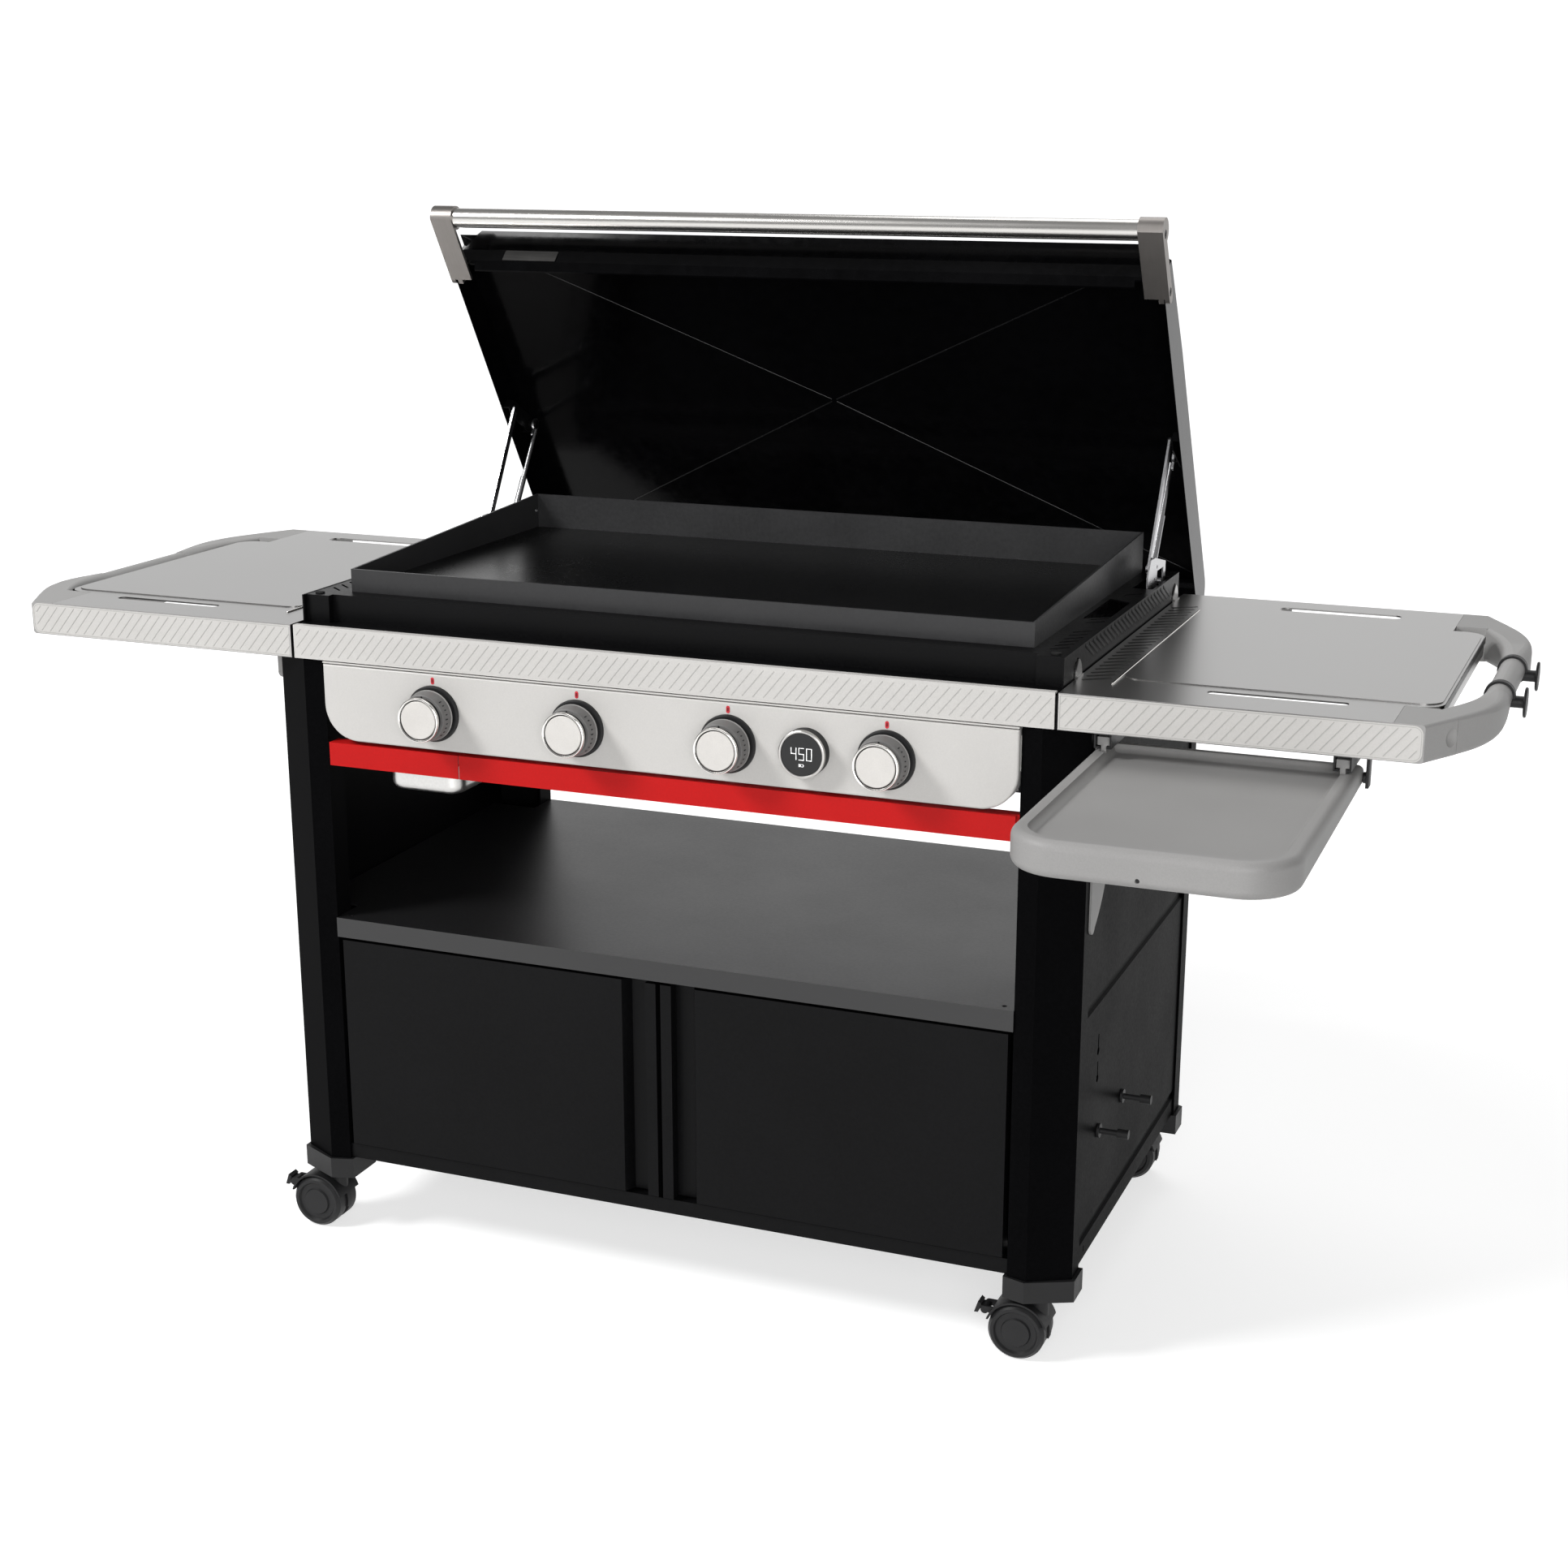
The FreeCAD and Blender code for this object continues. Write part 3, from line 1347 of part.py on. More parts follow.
def writeParts():
    nodes = station()
    shapes = {}
    for name, shape in nodes.items():
        shapes[name] = Part.makeCompound(shape) if isinstance(shape, list) else shape
    whole = Part.makeCompound(list(shapes.values())).optimalBoundingBox(False, False)
    home = at(-whole.Center.x, -whole.Center.y, 0)
    print("moved by", round(home.x, 4), round(home.y, 4), "size", whole.XLength, whole.YLength, whole.ZMin, whole.ZMax)
    for name, shape in shapes.items():
        placed = shape.copy()
        placed.translate(home)
        placed.exportStep("parts/" + name + ".step")


writeParts()
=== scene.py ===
from math import cos, hypot, pi, radians, tan

import bmesh
import bpy
from mathutils import Matrix, Vector
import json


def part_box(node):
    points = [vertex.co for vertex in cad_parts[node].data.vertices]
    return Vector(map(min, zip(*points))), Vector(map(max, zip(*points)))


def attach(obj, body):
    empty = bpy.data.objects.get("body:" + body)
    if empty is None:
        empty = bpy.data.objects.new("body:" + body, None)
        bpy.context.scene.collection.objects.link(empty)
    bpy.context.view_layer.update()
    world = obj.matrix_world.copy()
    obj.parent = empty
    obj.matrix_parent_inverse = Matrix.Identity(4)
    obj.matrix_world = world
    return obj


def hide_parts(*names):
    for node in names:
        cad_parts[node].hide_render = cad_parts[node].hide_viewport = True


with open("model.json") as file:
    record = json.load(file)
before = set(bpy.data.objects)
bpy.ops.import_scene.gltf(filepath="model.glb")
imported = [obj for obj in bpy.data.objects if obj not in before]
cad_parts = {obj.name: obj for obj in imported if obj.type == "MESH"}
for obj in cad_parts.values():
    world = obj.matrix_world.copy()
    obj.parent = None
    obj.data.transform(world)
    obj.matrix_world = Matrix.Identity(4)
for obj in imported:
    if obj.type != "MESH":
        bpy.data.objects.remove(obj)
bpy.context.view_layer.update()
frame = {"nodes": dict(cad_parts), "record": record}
nodes = frame["nodes"]
mm = 0.001
print("frame loaded:", len(nodes), "nodes")

# pieces are drawn in the part's own millimetres:
# x = 0 in the middle, y = 0 on the band's face, z = 0 on the floor
bandLow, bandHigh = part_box("front_band")
drawingZero = Vector(((bandLow[0] + bandHigh[0]) / 2, bandLow[1], 0))
toFrame = Matrix.Translation(drawingZero) @ Matrix.Scale(mm, 4)


# colours and nodes

def hexColour(text, share=1.0):
    parts = [int(text[i:i + 2], 16) / 255 for i in (0, 2, 4)]
    linear = [p / 12.92 if p <= 0.04045 else ((p + 0.055) / 1.055) ** 2.4 for p in parts]
    return tuple(min(1.0, p * share) for p in linear) + (1.0,)


def addNode(tree, kind, settings=None, links=None):
    node = tree.nodes.new(kind)
    for name, value in (settings or {}).items():
        if isinstance(name, str) and hasattr(node, name):
            setattr(node, name, value)
        else:
            node.inputs[name].default_value = value
    for name, source in (links or {}).items():
        tree.links.new(source, node.inputs[name])
    return node


# camera, solved from the photograph's vanishing directions

camera = {
    "place": (1206.6, -2573.0, 1477.8),      # drawing millimetres
    "pitch": 16.33,      # degrees below the horizon
    "yaw": 21.86,        # degrees to the left of +Y
    "lens": 55.34,       # millimetres, on a sensor of 36
    "sensor": 36,
    "shift": (-0.0005, 0.0212),
}
cameraData = bpy.data.cameras.new("camera")
cameraData.lens = camera["lens"]
cameraData.sensor_width = camera["sensor"]
cameraData.shift_x, cameraData.shift_y = camera["shift"]
cameraObject = bpy.data.objects.new("camera", cameraData)
bpy.context.scene.collection.objects.link(cameraObject)
cameraObject.location = toFrame @ Vector(camera["place"])
cameraObject.rotation_euler = (radians(90 - camera["pitch"]), 0, radians(camera["yaw"]))
bpy.context.scene.camera = cameraObject
bpy.context.scene.view_settings.view_transform = "Standard"
print("camera set")


# light: a pale room, one soft lamp at the front left that throws the shadow to the right,
# and weak ones round it

light = {
    "world": "c8c8c8",
    "worldStrength": 0.5,
    "floorSize": 60,         # metres
    "wallHeight": 20,
    "floorColour": "cccccc",
    "floorGlow": 0.64,      # near the object: white to the eye, while the shadow still shows
    "farGlow": 1.0,          # away from the lamps
    "nearReach": 1.2,        # metres from the object's middle
    "farReach": 3.4,
    "aim": (0, 0, 0.7),
    # name, place, size, power
    "lamps": [
        ("keyLamp", (-3.0, -2.6, 3.9), 1.5, 190),
        ("fillLamp", (1.6, -3.8, 1.5), 2.4, 85),
        ("topLamp", (0.2, 1.4, 3.8), 2.4, 35),
    ],
}


def pointAt(thing, target):
    way = Vector(target) - thing.location
    thing.rotation_euler = way.to_track_quat("-Z", "Y").to_euler()


def seenRay(tree):
    path = addNode(tree, "ShaderNodeLightPath")
    first = addNode(tree, "ShaderNodeMath", {"operation": "MAXIMUM"},
                    {0: path.outputs["Is Camera Ray"], 1: path.outputs["Is Glossy Ray"]})
    return addNode(tree, "ShaderNodeMath", {"operation": "MAXIMUM"},
                   {0: first.outputs[0], 1: path.outputs["Is Transmission Ray"]}).outputs[0]


def floorMaterial():
    material = bpy.data.materials.new("paleFloor")
    material.use_nodes = True
    tree = material.node_tree
    tree.nodes.clear()
    diffuse = addNode(tree, "ShaderNodeBsdfDiffuse", {"Color": hexColour(light["floorColour"])})
    where = addNode(tree, "ShaderNodeTexCoord")
    away = addNode(tree, "ShaderNodeVectorMath", {"operation": "LENGTH"}, {0: where.outputs["Object"]})
    glow = addNode(tree, "ShaderNodeMapRange", {
        "From Min": light["nearReach"], "From Max": light["farReach"],
        "To Min": light["floorGlow"], "To Max": light["farGlow"]}, {"Value": away.outputs["Value"]})
    strength = addNode(tree, "ShaderNodeMath", {"operation": "MULTIPLY"},
                       {0: seenRay(tree), 1: glow.outputs[0]})
    shine = addNode(tree, "ShaderNodeEmission", None, {"Strength": strength.outputs[0]})
    both = addNode(tree, "ShaderNodeAddShader", None, {0: diffuse.outputs[0], 1: shine.outputs[0]})
    addNode(tree, "ShaderNodeOutputMaterial", None, {"Surface": both.outputs[0]})
    return material


def buildStage():
    world = bpy.data.worlds.new("room")
    world.use_nodes = True
    back = world.node_tree.nodes["Background"]
    back.inputs["Color"].default_value = hexColour(light["world"])
    back.inputs["Strength"].default_value = light["worldStrength"]
    bpy.context.scene.world = world
    for name, spot, size, power in light["lamps"]:
        data = bpy.data.lights.new(name, "AREA")
        data.shape = "DISK"
        data.size = size
        data.energy = power
        lamp = bpy.data.objects.new(name, data)
        bpy.context.scene.collection.objects.link(lamp)
        lamp.location = spot
        pointAt(lamp, light["aim"])
    shape = bmesh.new()
    bmesh.ops.create_grid(shape, x_segments=1, y_segments=1, size=light["floorSize"] / 2)
    far = [e for e in shape.edges if all(v.co.y > 0 for v in e.verts)]
    raised = bmesh.ops.extrude_edge_only(shape, edges=far)["geom"]
    top = [item for item in raised if isinstance(item, bmesh.types.BMVert)]
    bmesh.ops.translate(shape, vec=(0, 0, light["wallHeight"]), verts=top)
    mesh = bpy.data.meshes.new("floor")
    shape.to_mesh(mesh)
    shape.free()
    floor = bpy.data.objects.new("floor", mesh)
    bpy.context.scene.collection.objects.link(floor)
    mesh.materials.append(floorMaterial())


buildStage()
print("stage ready")


# materials: each look gives the colour, how far grain and cloud move it, and their sizes in millimetres
# grain is the surface's own texture along x, y and z; cloud is the slow change over a whole sheet

looks = {
    # powder coat on sheet steel: satin black, fine orange peel of about 2 mm drawn as 4 mm
    "blackPowderCoat": {"colour": "0c0c0d", "tint": 0.25, "roughness": 0.38, "swing": 0.05,
                        "specular": 0.09, "grain": (4, 4, 4), "bump": 0.03, "cloud": 220},
    # the posts and side panels: the same powder coat painted darker and with almost no shine, a painted
    # shade
    "postShadedPowderCoat": {"colour": "080809", "tint": 0.25, "roughness": 0.42, "swing": 0.05, "specular": 0.01,
                       "grain": (4, 4, 4), "bump": 0.03, "cloud": 220},
    # the shelf: the same powder coat painted lighter and made to shine more, a painted sheen where it
    # catches the pale room at a low angle
    "shelfLitPowderCoat": {"colour": "161617", "tint": 0.1, "roughness": 0.4, "swing": 0.03, "specular": 0.62,
                        "grain": (4, 4, 4), "bump": 0.03, "cloud": 260},
    # porcelain enamel fired on steel: deep gloss, long soft waves
    "glossEnamel": {"colour": "060607", "tint": 0.3, "roughness": 0.14, "swing": 0.04, "specular": 0.08,
                    "grain": (14, 14, 14), "bump": 0.04, "cloud": 180},
    # baked grey paint with a fine metal flake, flake of 0.1 mm drawn as 2.2 mm
    "greyFlakePaint": {"colour": "c3c1be", "tint": 0.035, "roughness": 0.42, "swing": 0.05, "specular": 0.5,
                       "grain": (2.2, 2.2, 2.2), "bump": 0.01, "cloud": 160},
    "strokeGrey": {"colour": "a9a8a5", "tint": 0.06, "roughness": 0.5, "swing": 0.05, "specular": 0.4,
                   "grain": (2.2, 2.2, 2.2), "bump": 0.01, "cloud": 160},
    "redPowderCoat": {"colour": "b81616", "tint": 0.06, "roughness": 0.45, "swing": 0.05, "specular": 0.15,
                      "grain": (3, 3, 3), "bump": 0.03, "cloud": 140},
    # rolled aluminium pan: soft streaks along its length
    "rolledAluminium": {"colour": "c9c8c6", "tint": 0.07, "roughness": 0.34, "swing": 0.06, "metallic": 1.0,
                        "grain": (3, 60, 3), "bump": 0.02, "cloud": 70},
    # hot rolled plate, oiled: satin with cloudy patches the size of a hand
    "oiledPlate": {"colour": "303031", "tint": 0.12, "roughness": 0.42, "swing": 0.06, "specular": 0.3,
                   "grain": (5, 5, 5), "bump": 0.02, "cloud": 120},
    # the pan's floor: darker than the walls, with a soft oily shine
    "darkerFloorPlate": {"colour": "0f0f10", "tint": 0.2, "roughness": 0.3, "swing": 0.03, "specular": 0.36,
                      "grain": (5, 5, 5), "bump": 0.01, "cloud": 160},
    # drawn stainless tube, brushed along x: scratches 0.1 mm wide drawn as 1.4 mm
    "brushedTube": {"colour": "c4c2bf", "tint": 0.03, "roughness": 0.26, "swing": 0.015, "metallic": 1.0,
                    "grain": (120, 1.4, 1.4), "bump": 0.0003, "cloud": 200},
    "satinSteel": {"colour": "8b8784", "tint": 0.04, "roughness": 0.45, "swing": 0.02, "metallic": 1.0,
                   "grain": (1.6, 40, 40), "bump": 0.001, "cloud": 60},
    "plateSteel": {"colour": "5e5d5c", "tint": 0.12, "roughness": 0.4, "swing": 0.05, "metallic": 1.0,
                   "grain": (40, 1.6, 1.6), "bump": 0.001, "cloud": 40},
    # painted highlight along each fold of the glossy enamel: a lighter, shinier bead that stands for the
    # light the crease catches
    "foldHighlightEnamel": {"colour": "161617", "tint": 0.2, "roughness": 0.25, "swing": 0.04, "specular": 0.4,
                   "grain": (14, 14, 14), "bump": 0.02, "cloud": 180},
    "zincPlate": {"colour": "b9b9bb", "tint": 0.06, "roughness": 0.3, "swing": 0.03, "metallic": 1.0,
                  "grain": (2.5, 2.5, 2.5), "bump": 0.0006, "cloud": 18},
    # brushed stainless sheet, lines along x as the table's top shows
    "brushedSheet": {"colour": "959493", "tint": 0.03, "roughness": 0.3, "swing": 0.01, "metallic": 1.0,
                     "grain": (90, 1.6, 1.6), "bump": 0.0, "cloud": 240},
    # dark steel: painted shade in the tables' pressed dashes, and a painted dark reflection on the tongues'
    # sides
    "shadeAndReflectionSteel": {"colour": "2e2e2d", "tint": 0.06, "roughness": 0.36, "swing": 0.04, "metallic": 1.0,
                  "grain": (90, 1.6, 1.6), "bump": 0.001, "cloud": 240},
    # glass filled nylon castings and tray: even satin grain of a spark eroded mould, 0.3 mm drawn as 1.8 mm
    "greyNylon": {"colour": "9a9998", "tint": 0.05, "roughness": 0.5, "swing": 0.05, "specular": 0.4,
                  "grain": (1.8, 1.8, 1.8), "bump": 0.02, "cloud": 90},
    "trayNylon": {"colour": "8f8e8d", "tint": 0.05, "roughness": 0.5, "swing": 0.05, "specular": 0.4,
                  "grain": (1.8, 1.8, 1.8), "bump": 0.02, "cloud": 120},
    "blackNylon": {"colour": "1a1a1b", "tint": 0.2, "roughness": 0.5, "swing": 0.06, "specular": 0.3,
                   "grain": (1.8, 1.8, 1.8), "bump": 0.03, "cloud": 40},
    "wheelNylon": {"colour": "1f1f20", "tint": 0.2, "roughness": 0.45, "swing": 0.07, "specular": 0.3,
                   "grain": (1.8, 1.8, 1.8), "bump": 0.03, "cloud": 30},
    "blackRubber": {"colour": "101010", "tint": 0.25, "roughness": 0.7, "swing": 0.06, "specular": 0.25,
                    "grain": (1.5, 1.5, 1.5), "bump": 0.04, "cloud": 20},
    "knobFacePaint": {"colour": "cfccc8", "tint": 0.04, "roughness": 0.45, "swing": 0.05, "specular": 0.5,
                      "grain": (1.6, 1.6, 1.6), "bump": 0.01, "cloud": 30},
    "knobChrome": {"colour": "e0dedb", "tint": 0.04, "roughness": 0.16, "swing": 0.04, "metallic": 1.0,
                   "grain": (4, 4, 4), "bump": 0.005, "cloud": 12},
    "displayRing": {"colour": "bfbdba", "tint": 0.04, "roughness": 0.32, "swing": 0.03, "metallic": 1.0,
                    "grain": (4, 4, 4), "bump": 0.001, "cloud": 12},
    "collarPlastic": {"colour": "6a6968", "tint": 0.08, "roughness": 0.42, "swing": 0.06, "specular": 0.5,
                      "grain": (1.6, 1.6, 1.6), "bump": 0.02, "cloud": 20},
    "collarRing": {"colour": "a09f9d", "tint": 0.05, "roughness": 0.36, "swing": 0.05, "specular": 0.5,
                   "grain": (1.6, 1.6, 1.6), "bump": 0.01, "cloud": 20},
    "darkGlass": {"colour": "1a1a1b", "tint": 0.1, "roughness": 0.1, "swing": 0.02, "specular": 0.3,
                  "grain": (6, 6, 6), "bump": 0.002, "cloud": 20},
    "markRed": {"colour": "c5303c", "tint": 0.15, "roughness": 0.5, "swing": 0.05, "specular": 0.3,
                "grain": (1.2, 1.2, 1.2), "bump": 0.01, "cloud": 6},
    "markDark": {"colour": "7a1a22", "tint": 0.15, "roughness": 0.5, "swing": 0.05, "specular": 0.3,
                 "grain": (1.2, 1.2, 1.2), "bump": 0.01, "cloud": 6},
    "litFigure": {"colour": "f4f4f4", "tint": 0.02, "roughness": 0.6, "swing": 0.02, "specular": 0.2,
                  "grain": (2, 2, 2), "bump": 0.0, "cloud": 10, "glow": 0.75},
}


def makeFinish(name, look):
    material = bpy.data.materials.new(name)
    material.use_nodes = True
    tree = material.node_tree
    tree.nodes.clear()
    where = addNode(tree, "ShaderNodeTexCoord").outputs["Object"]
    lay = addNode(tree, "ShaderNodeMapping", {"Scale": [1000 / size for size in look["grain"]]},
                  {"Vector": where})
    grain = addNode(tree, "ShaderNodeTexNoise", {"Scale": 1.0, "Detail": 3.0, "Roughness": 0.6},
                    {"Vector": lay.outputs[0]}).outputs[0]
    cloud = addNode(tree, "ShaderNodeTexNoise",
                    {"Scale": 1000 / look["cloud"], "Detail": 4.0, "Roughness": 0.55},
                    {"Vector": where}).outputs[0]
    both = addNode(tree, "ShaderNodeMath", {"operation": "ADD"}, {0: grain, 1: cloud}).outputs[0]
    share = addNode(tree, "ShaderNodeMapRange", {"From Min": 0.75, "From Max": 1.25},
                    {"Value": both}).outputs[0]
    tint = look["tint"]
    darker, lighter = hexColour(look["colour"], 1 - tint), hexColour(look["colour"], 1 + tint)
    colour = addNode(tree, "ShaderNodeMix", {"data_type": "RGBA", 6: darker, 7: lighter}, {0: share})
    roughness = addNode(tree, "ShaderNodeMapRange", {
        "To Min": look["roughness"] - look["swing"], "To Max": look["roughness"] + look["swing"]},
        {"Value": share})
    relief = addNode(tree, "ShaderNodeBump", {"Strength": 1.0, "Distance": look["bump"] * mm},
                     {"Height": grain})
    settings = {"Metallic": look.get("metallic", 0.0)}
    if "specular" in look:
        settings["Specular IOR Level"] = look["specular"]
    if "glow" in look:
        settings["Emission Color"] = hexColour(look["colour"])
        settings["Emission Strength"] = look["glow"]
    shader = addNode(tree, "ShaderNodeBsdfPrincipled", settings, {
        "Base Color": colour.outputs[2], "Roughness": roughness.outputs[0], "Normal": relief.outputs[0]})
    addNode(tree, "ShaderNodeOutputMaterial", None, {"Surface": shader.outputs[0]})
    return material


finishes = {name: makeFinish(name, look) for name, look in looks.items()}

slotFinish = {
    "black_enamel": "blackPowderCoat",
    "band_steel": "greyFlakePaint",
    "red_enamel": "redPowderCoat",
    "tray_aluminium": "rolledAluminium",
    "griddle_steel": "oiledPlate",
    "bright_steel": "brushedTube",
    "satin_steel": "satinSteel",
    "rubber_black": "blackRubber",
    "zinc_steel": "zincPlate",
    "table_steel": "brushedSheet",
    "grey_moulding": "greyNylon",
    "tray_moulding": "trayNylon",
    "black_moulding": "blackNylon",
    "wheel_black": "wheelNylon",
    "knob_black": "blackNylon",
    "knob_satin": "knobFacePaint",
    "display_black": "darkGlass",
}
nodeFinish = {
    "lid": "glossEnamel",
    # the shelf's lighter copy of the coat is a painted sheen
    "shelf": "shelfLitPowderCoat",
    # the posts' and side panels' darker copy of the coat is a painted shade
    "front_legs": "postShadedPowderCoat",
    "rear_legs": "postShadedPowderCoat",
    "side_panel_left": "postShadedPowderCoat",
    "side_panel_right": "postShadedPowderCoat",
    "tray_runners": "blackNylon",
}
for part in frame["record"]["subparts"]:
    thing = nodes[part["node"]]
    thing.data.materials.clear()
    thing.data.materials.append(finishes[nodeFinish.get(part["node"], slotFinish[part["material_slot"]])])
print("materials given")


# making pieces, all in drawing millimetres

weldReach = 0.001
smoothBelow = radians(32)


def addBlock(shape, low, high, rounding=0.0, chosen=None, segments=3, turn=None):
    low, high = Vector(low), Vector(high)
    size = high - low
    verts = bmesh.ops.create_cube(shape, size=1)["verts"]
    bmesh.ops.scale(shape, vec=size, verts=verts)
    if rounding:
        edges = {edge for vert in verts for edge in vert.link_edges}
        if chosen:
            edges = {edge for edge in edges if chosen(edge)}
        made = bmesh.ops.bevel(shape, geom=list(edges), offset=rounding, segments=segments, profile=0.5,
                               affect="EDGES", material=-1)
        verts = list({vert for vert in verts if vert.is_valid} | set(made["verts"]))
    if turn:
        bmesh.ops.rotate(shape, cent=(0, 0, 0), matrix=turn, verts=verts)
    bmesh.ops.translate(shape, vec=(low + high) / 2, verts=verts)
    return verts


def alongY(edge):
    way = edge.verts[1].co - edge.verts[0].co
    return abs(way.y) > 0.99 * way.length


def addSpun(shape, profile, centre, axis, steps=64, closed=False):
    # profile points are (radius, distance along the axis), and the axis is X or Y
    centre = Vector(centre)
    along = Vector((1, 0, 0)) if axis == "X" else Vector((0, 1, 0))
    outward = Vector((0, 0, 1))
    ring = [shape.verts.new(centre + outward * r + along * d) for r, d in profile]
    pairs = list(zip(ring, ring[1:]))
    if closed:
        pairs.append((ring[-1], ring[0]))
    edges = [shape.edges.new(pair) for pair in pairs]
    bmesh.ops.spin(shape, geom=ring + edges, cent=centre, axis=along, angle=2 * pi, steps=steps,
                   use_merge=True)


def addPiece(name, shape, body, finish, lay=None):
    bmesh.ops.remove_doubles(shape, verts=shape.verts, dist=weldReach)
    bmesh.ops.recalc_face_normals(shape, faces=shape.faces)
    for face in shape.faces:
        face.smooth = True
    for edge in shape.edges:
        edge.smooth = edge.calc_face_angle(0) < smoothBelow
    bmesh.ops.transform(shape, matrix=toFrame @ lay if lay else toFrame, verts=shape.verts)
    mesh = bpy.data.meshes.new(name)
    shape.to_mesh(mesh)
    shape.free()
    mesh.materials.append(finishes[finish])
    thing = bpy.data.objects.new(name, mesh)
    bpy.context.scene.collection.objects.link(thing)
    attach(thing, body)
    return thing


# pressed strokes on the front band and on the tables' aprons

hatch = {
    "pitch": 13.6,
    "lean": 50.0,        # degrees
    "low": 810.0,
    "high": 843.0,
    "width": 1.0,
    "depth": 0.25,
    "shortest": 3.0,     # along x
    "bandHalf": 499.0,
}


def addStrokes(shape, x0, x1, face):
    lean = radians(hatch["lean"])
    run = (hatch["high"] - hatch["low"]) / tan(lean)
    turn = Matrix.Rotation(-lean, 3, "Y")
    foot = x0 - run + hatch["pitch"] / 2
    while foot < x1:
        start, end = max(foot, x0), min(foot + run, x1)
        if end - start > hatch["shortest"]:
            middle = (start + end) / 2
            level = hatch["low"] + (middle - foot) * tan(lean)
            spot = Vector((middle, face - hatch["depth"] / 2, level))
            half = Vector(((end - start) / cos(lean), hatch["depth"], hatch["width"])) / 2
            addBlock(shape, spot - half, spot + half, turn=turn)
        foot += hatch["pitch"]


def bandStrokes():
    shape = bmesh.new()
    addStrokes(shape, -hatch["bandHalf"], hatch["bandHalf"], 0)
    addPiece("band_strokes", shape, "cart", "strokeGrey")


bandStrokes()

apron = {
    "inner": 507.6,
    "outer": 910.5,
    "low": 806.0,
    "high": 846.6,
    "thick": 0.35,
    "corner": 10.0,
    "cornerSteps": 8,
    "rim": 1.4,
    "lineLift": 0.1,
    "lineWidth": 0.7,
    "lineThick": 0.05,
    "innerInset": 2.0,       # from the plate's ends to the strokes
    "outerInset": 6.0,
}


def apronPlate(side, sideName):
    # thin plate over the table's front and its casting, a line inside its edge, and the strokes
    shape = bmesh.new()
    middle = (apron["inner"] + apron["outer"]) / 2
    spot = Vector((side * middle, -apron["thick"] / 2, (apron["low"] + apron["high"]) / 2))
    half = Vector((apron["outer"] - apron["inner"], apron["thick"], apron["high"] - apron["low"])) / 2
    steps = apron["cornerSteps"]

    def outerCorner(edge):
        return alongY(edge) and side * edge.verts[0].co.x > 0

    addBlock(shape, spot - half, spot + half, apron["corner"], outerCorner, steps)
    addPiece("apron_plate_" + sideName, shape, "cart", "greyFlakePaint")
    shape = bmesh.new()
    size = half - Vector((apron["rim"], 0, apron["rim"]))
    verts = addBlock(shape, spot - size, spot + size, apron["corner"] - apron["rim"], outerCorner, steps)
    bmesh.ops.translate(shape, vec=(0, -apron["lineLift"], 0), verts=verts)
    front = [f for f in shape.faces if f.normal.y < -0.9]
    line = bmesh.ops.inset_region(shape, faces=front, thickness=apron["lineWidth"], use_even_offset=True)
    bmesh.ops.delete(shape, geom=[f for f in shape.faces if f not in line["faces"]], context="FACES")
    bmesh.ops.solidify(shape, geom=shape.faces, thickness=apron["lineThick"])
    addPiece("apron_line_" + sideName, shape, "cart", "strokeGrey")
    shape = bmesh.new()
    ends = (side * (apron["inner"] + apron["innerInset"]), side * (apron["outer"] - apron["outerInset"]))
    addStrokes(shape, min(ends), max(ends), -apron["thick"])
    addPiece("apron_strokes_" + sideName, shape, "cart", "strokeGrey")


apronPlate(1, "right")
apronPlate(-1, "left")
print("strokes pressed")


# knobs: painted face in a chromed rim, black neck, grey collar with ticks

knob = {
    "places": (-302.4, -100.8, 100.8, 302.4),
    "level": 749.5,
    "collarFront": (29.6, -27.0),      # radius, distance along the axis
    "collarBack": (32.2, -12.0),
    "ticks": 9,
    "tickStep": 11.0,       # degrees
    "longTick": 6.0,        # every fourth one
    "shortTick": 3.6,
    "tickHalf": 0.7,
    "tickMiddle": -19.5,    # distance along the axis
    "tickSunk": 0.5,
    "tickRaised": 0.25,
    "dot": (0, -27.1, 27.2),
    "dotProfile": ((0, -0.9), (1.1, -0.9), (1.3, -0.7), (1.3, 0.3)),
}


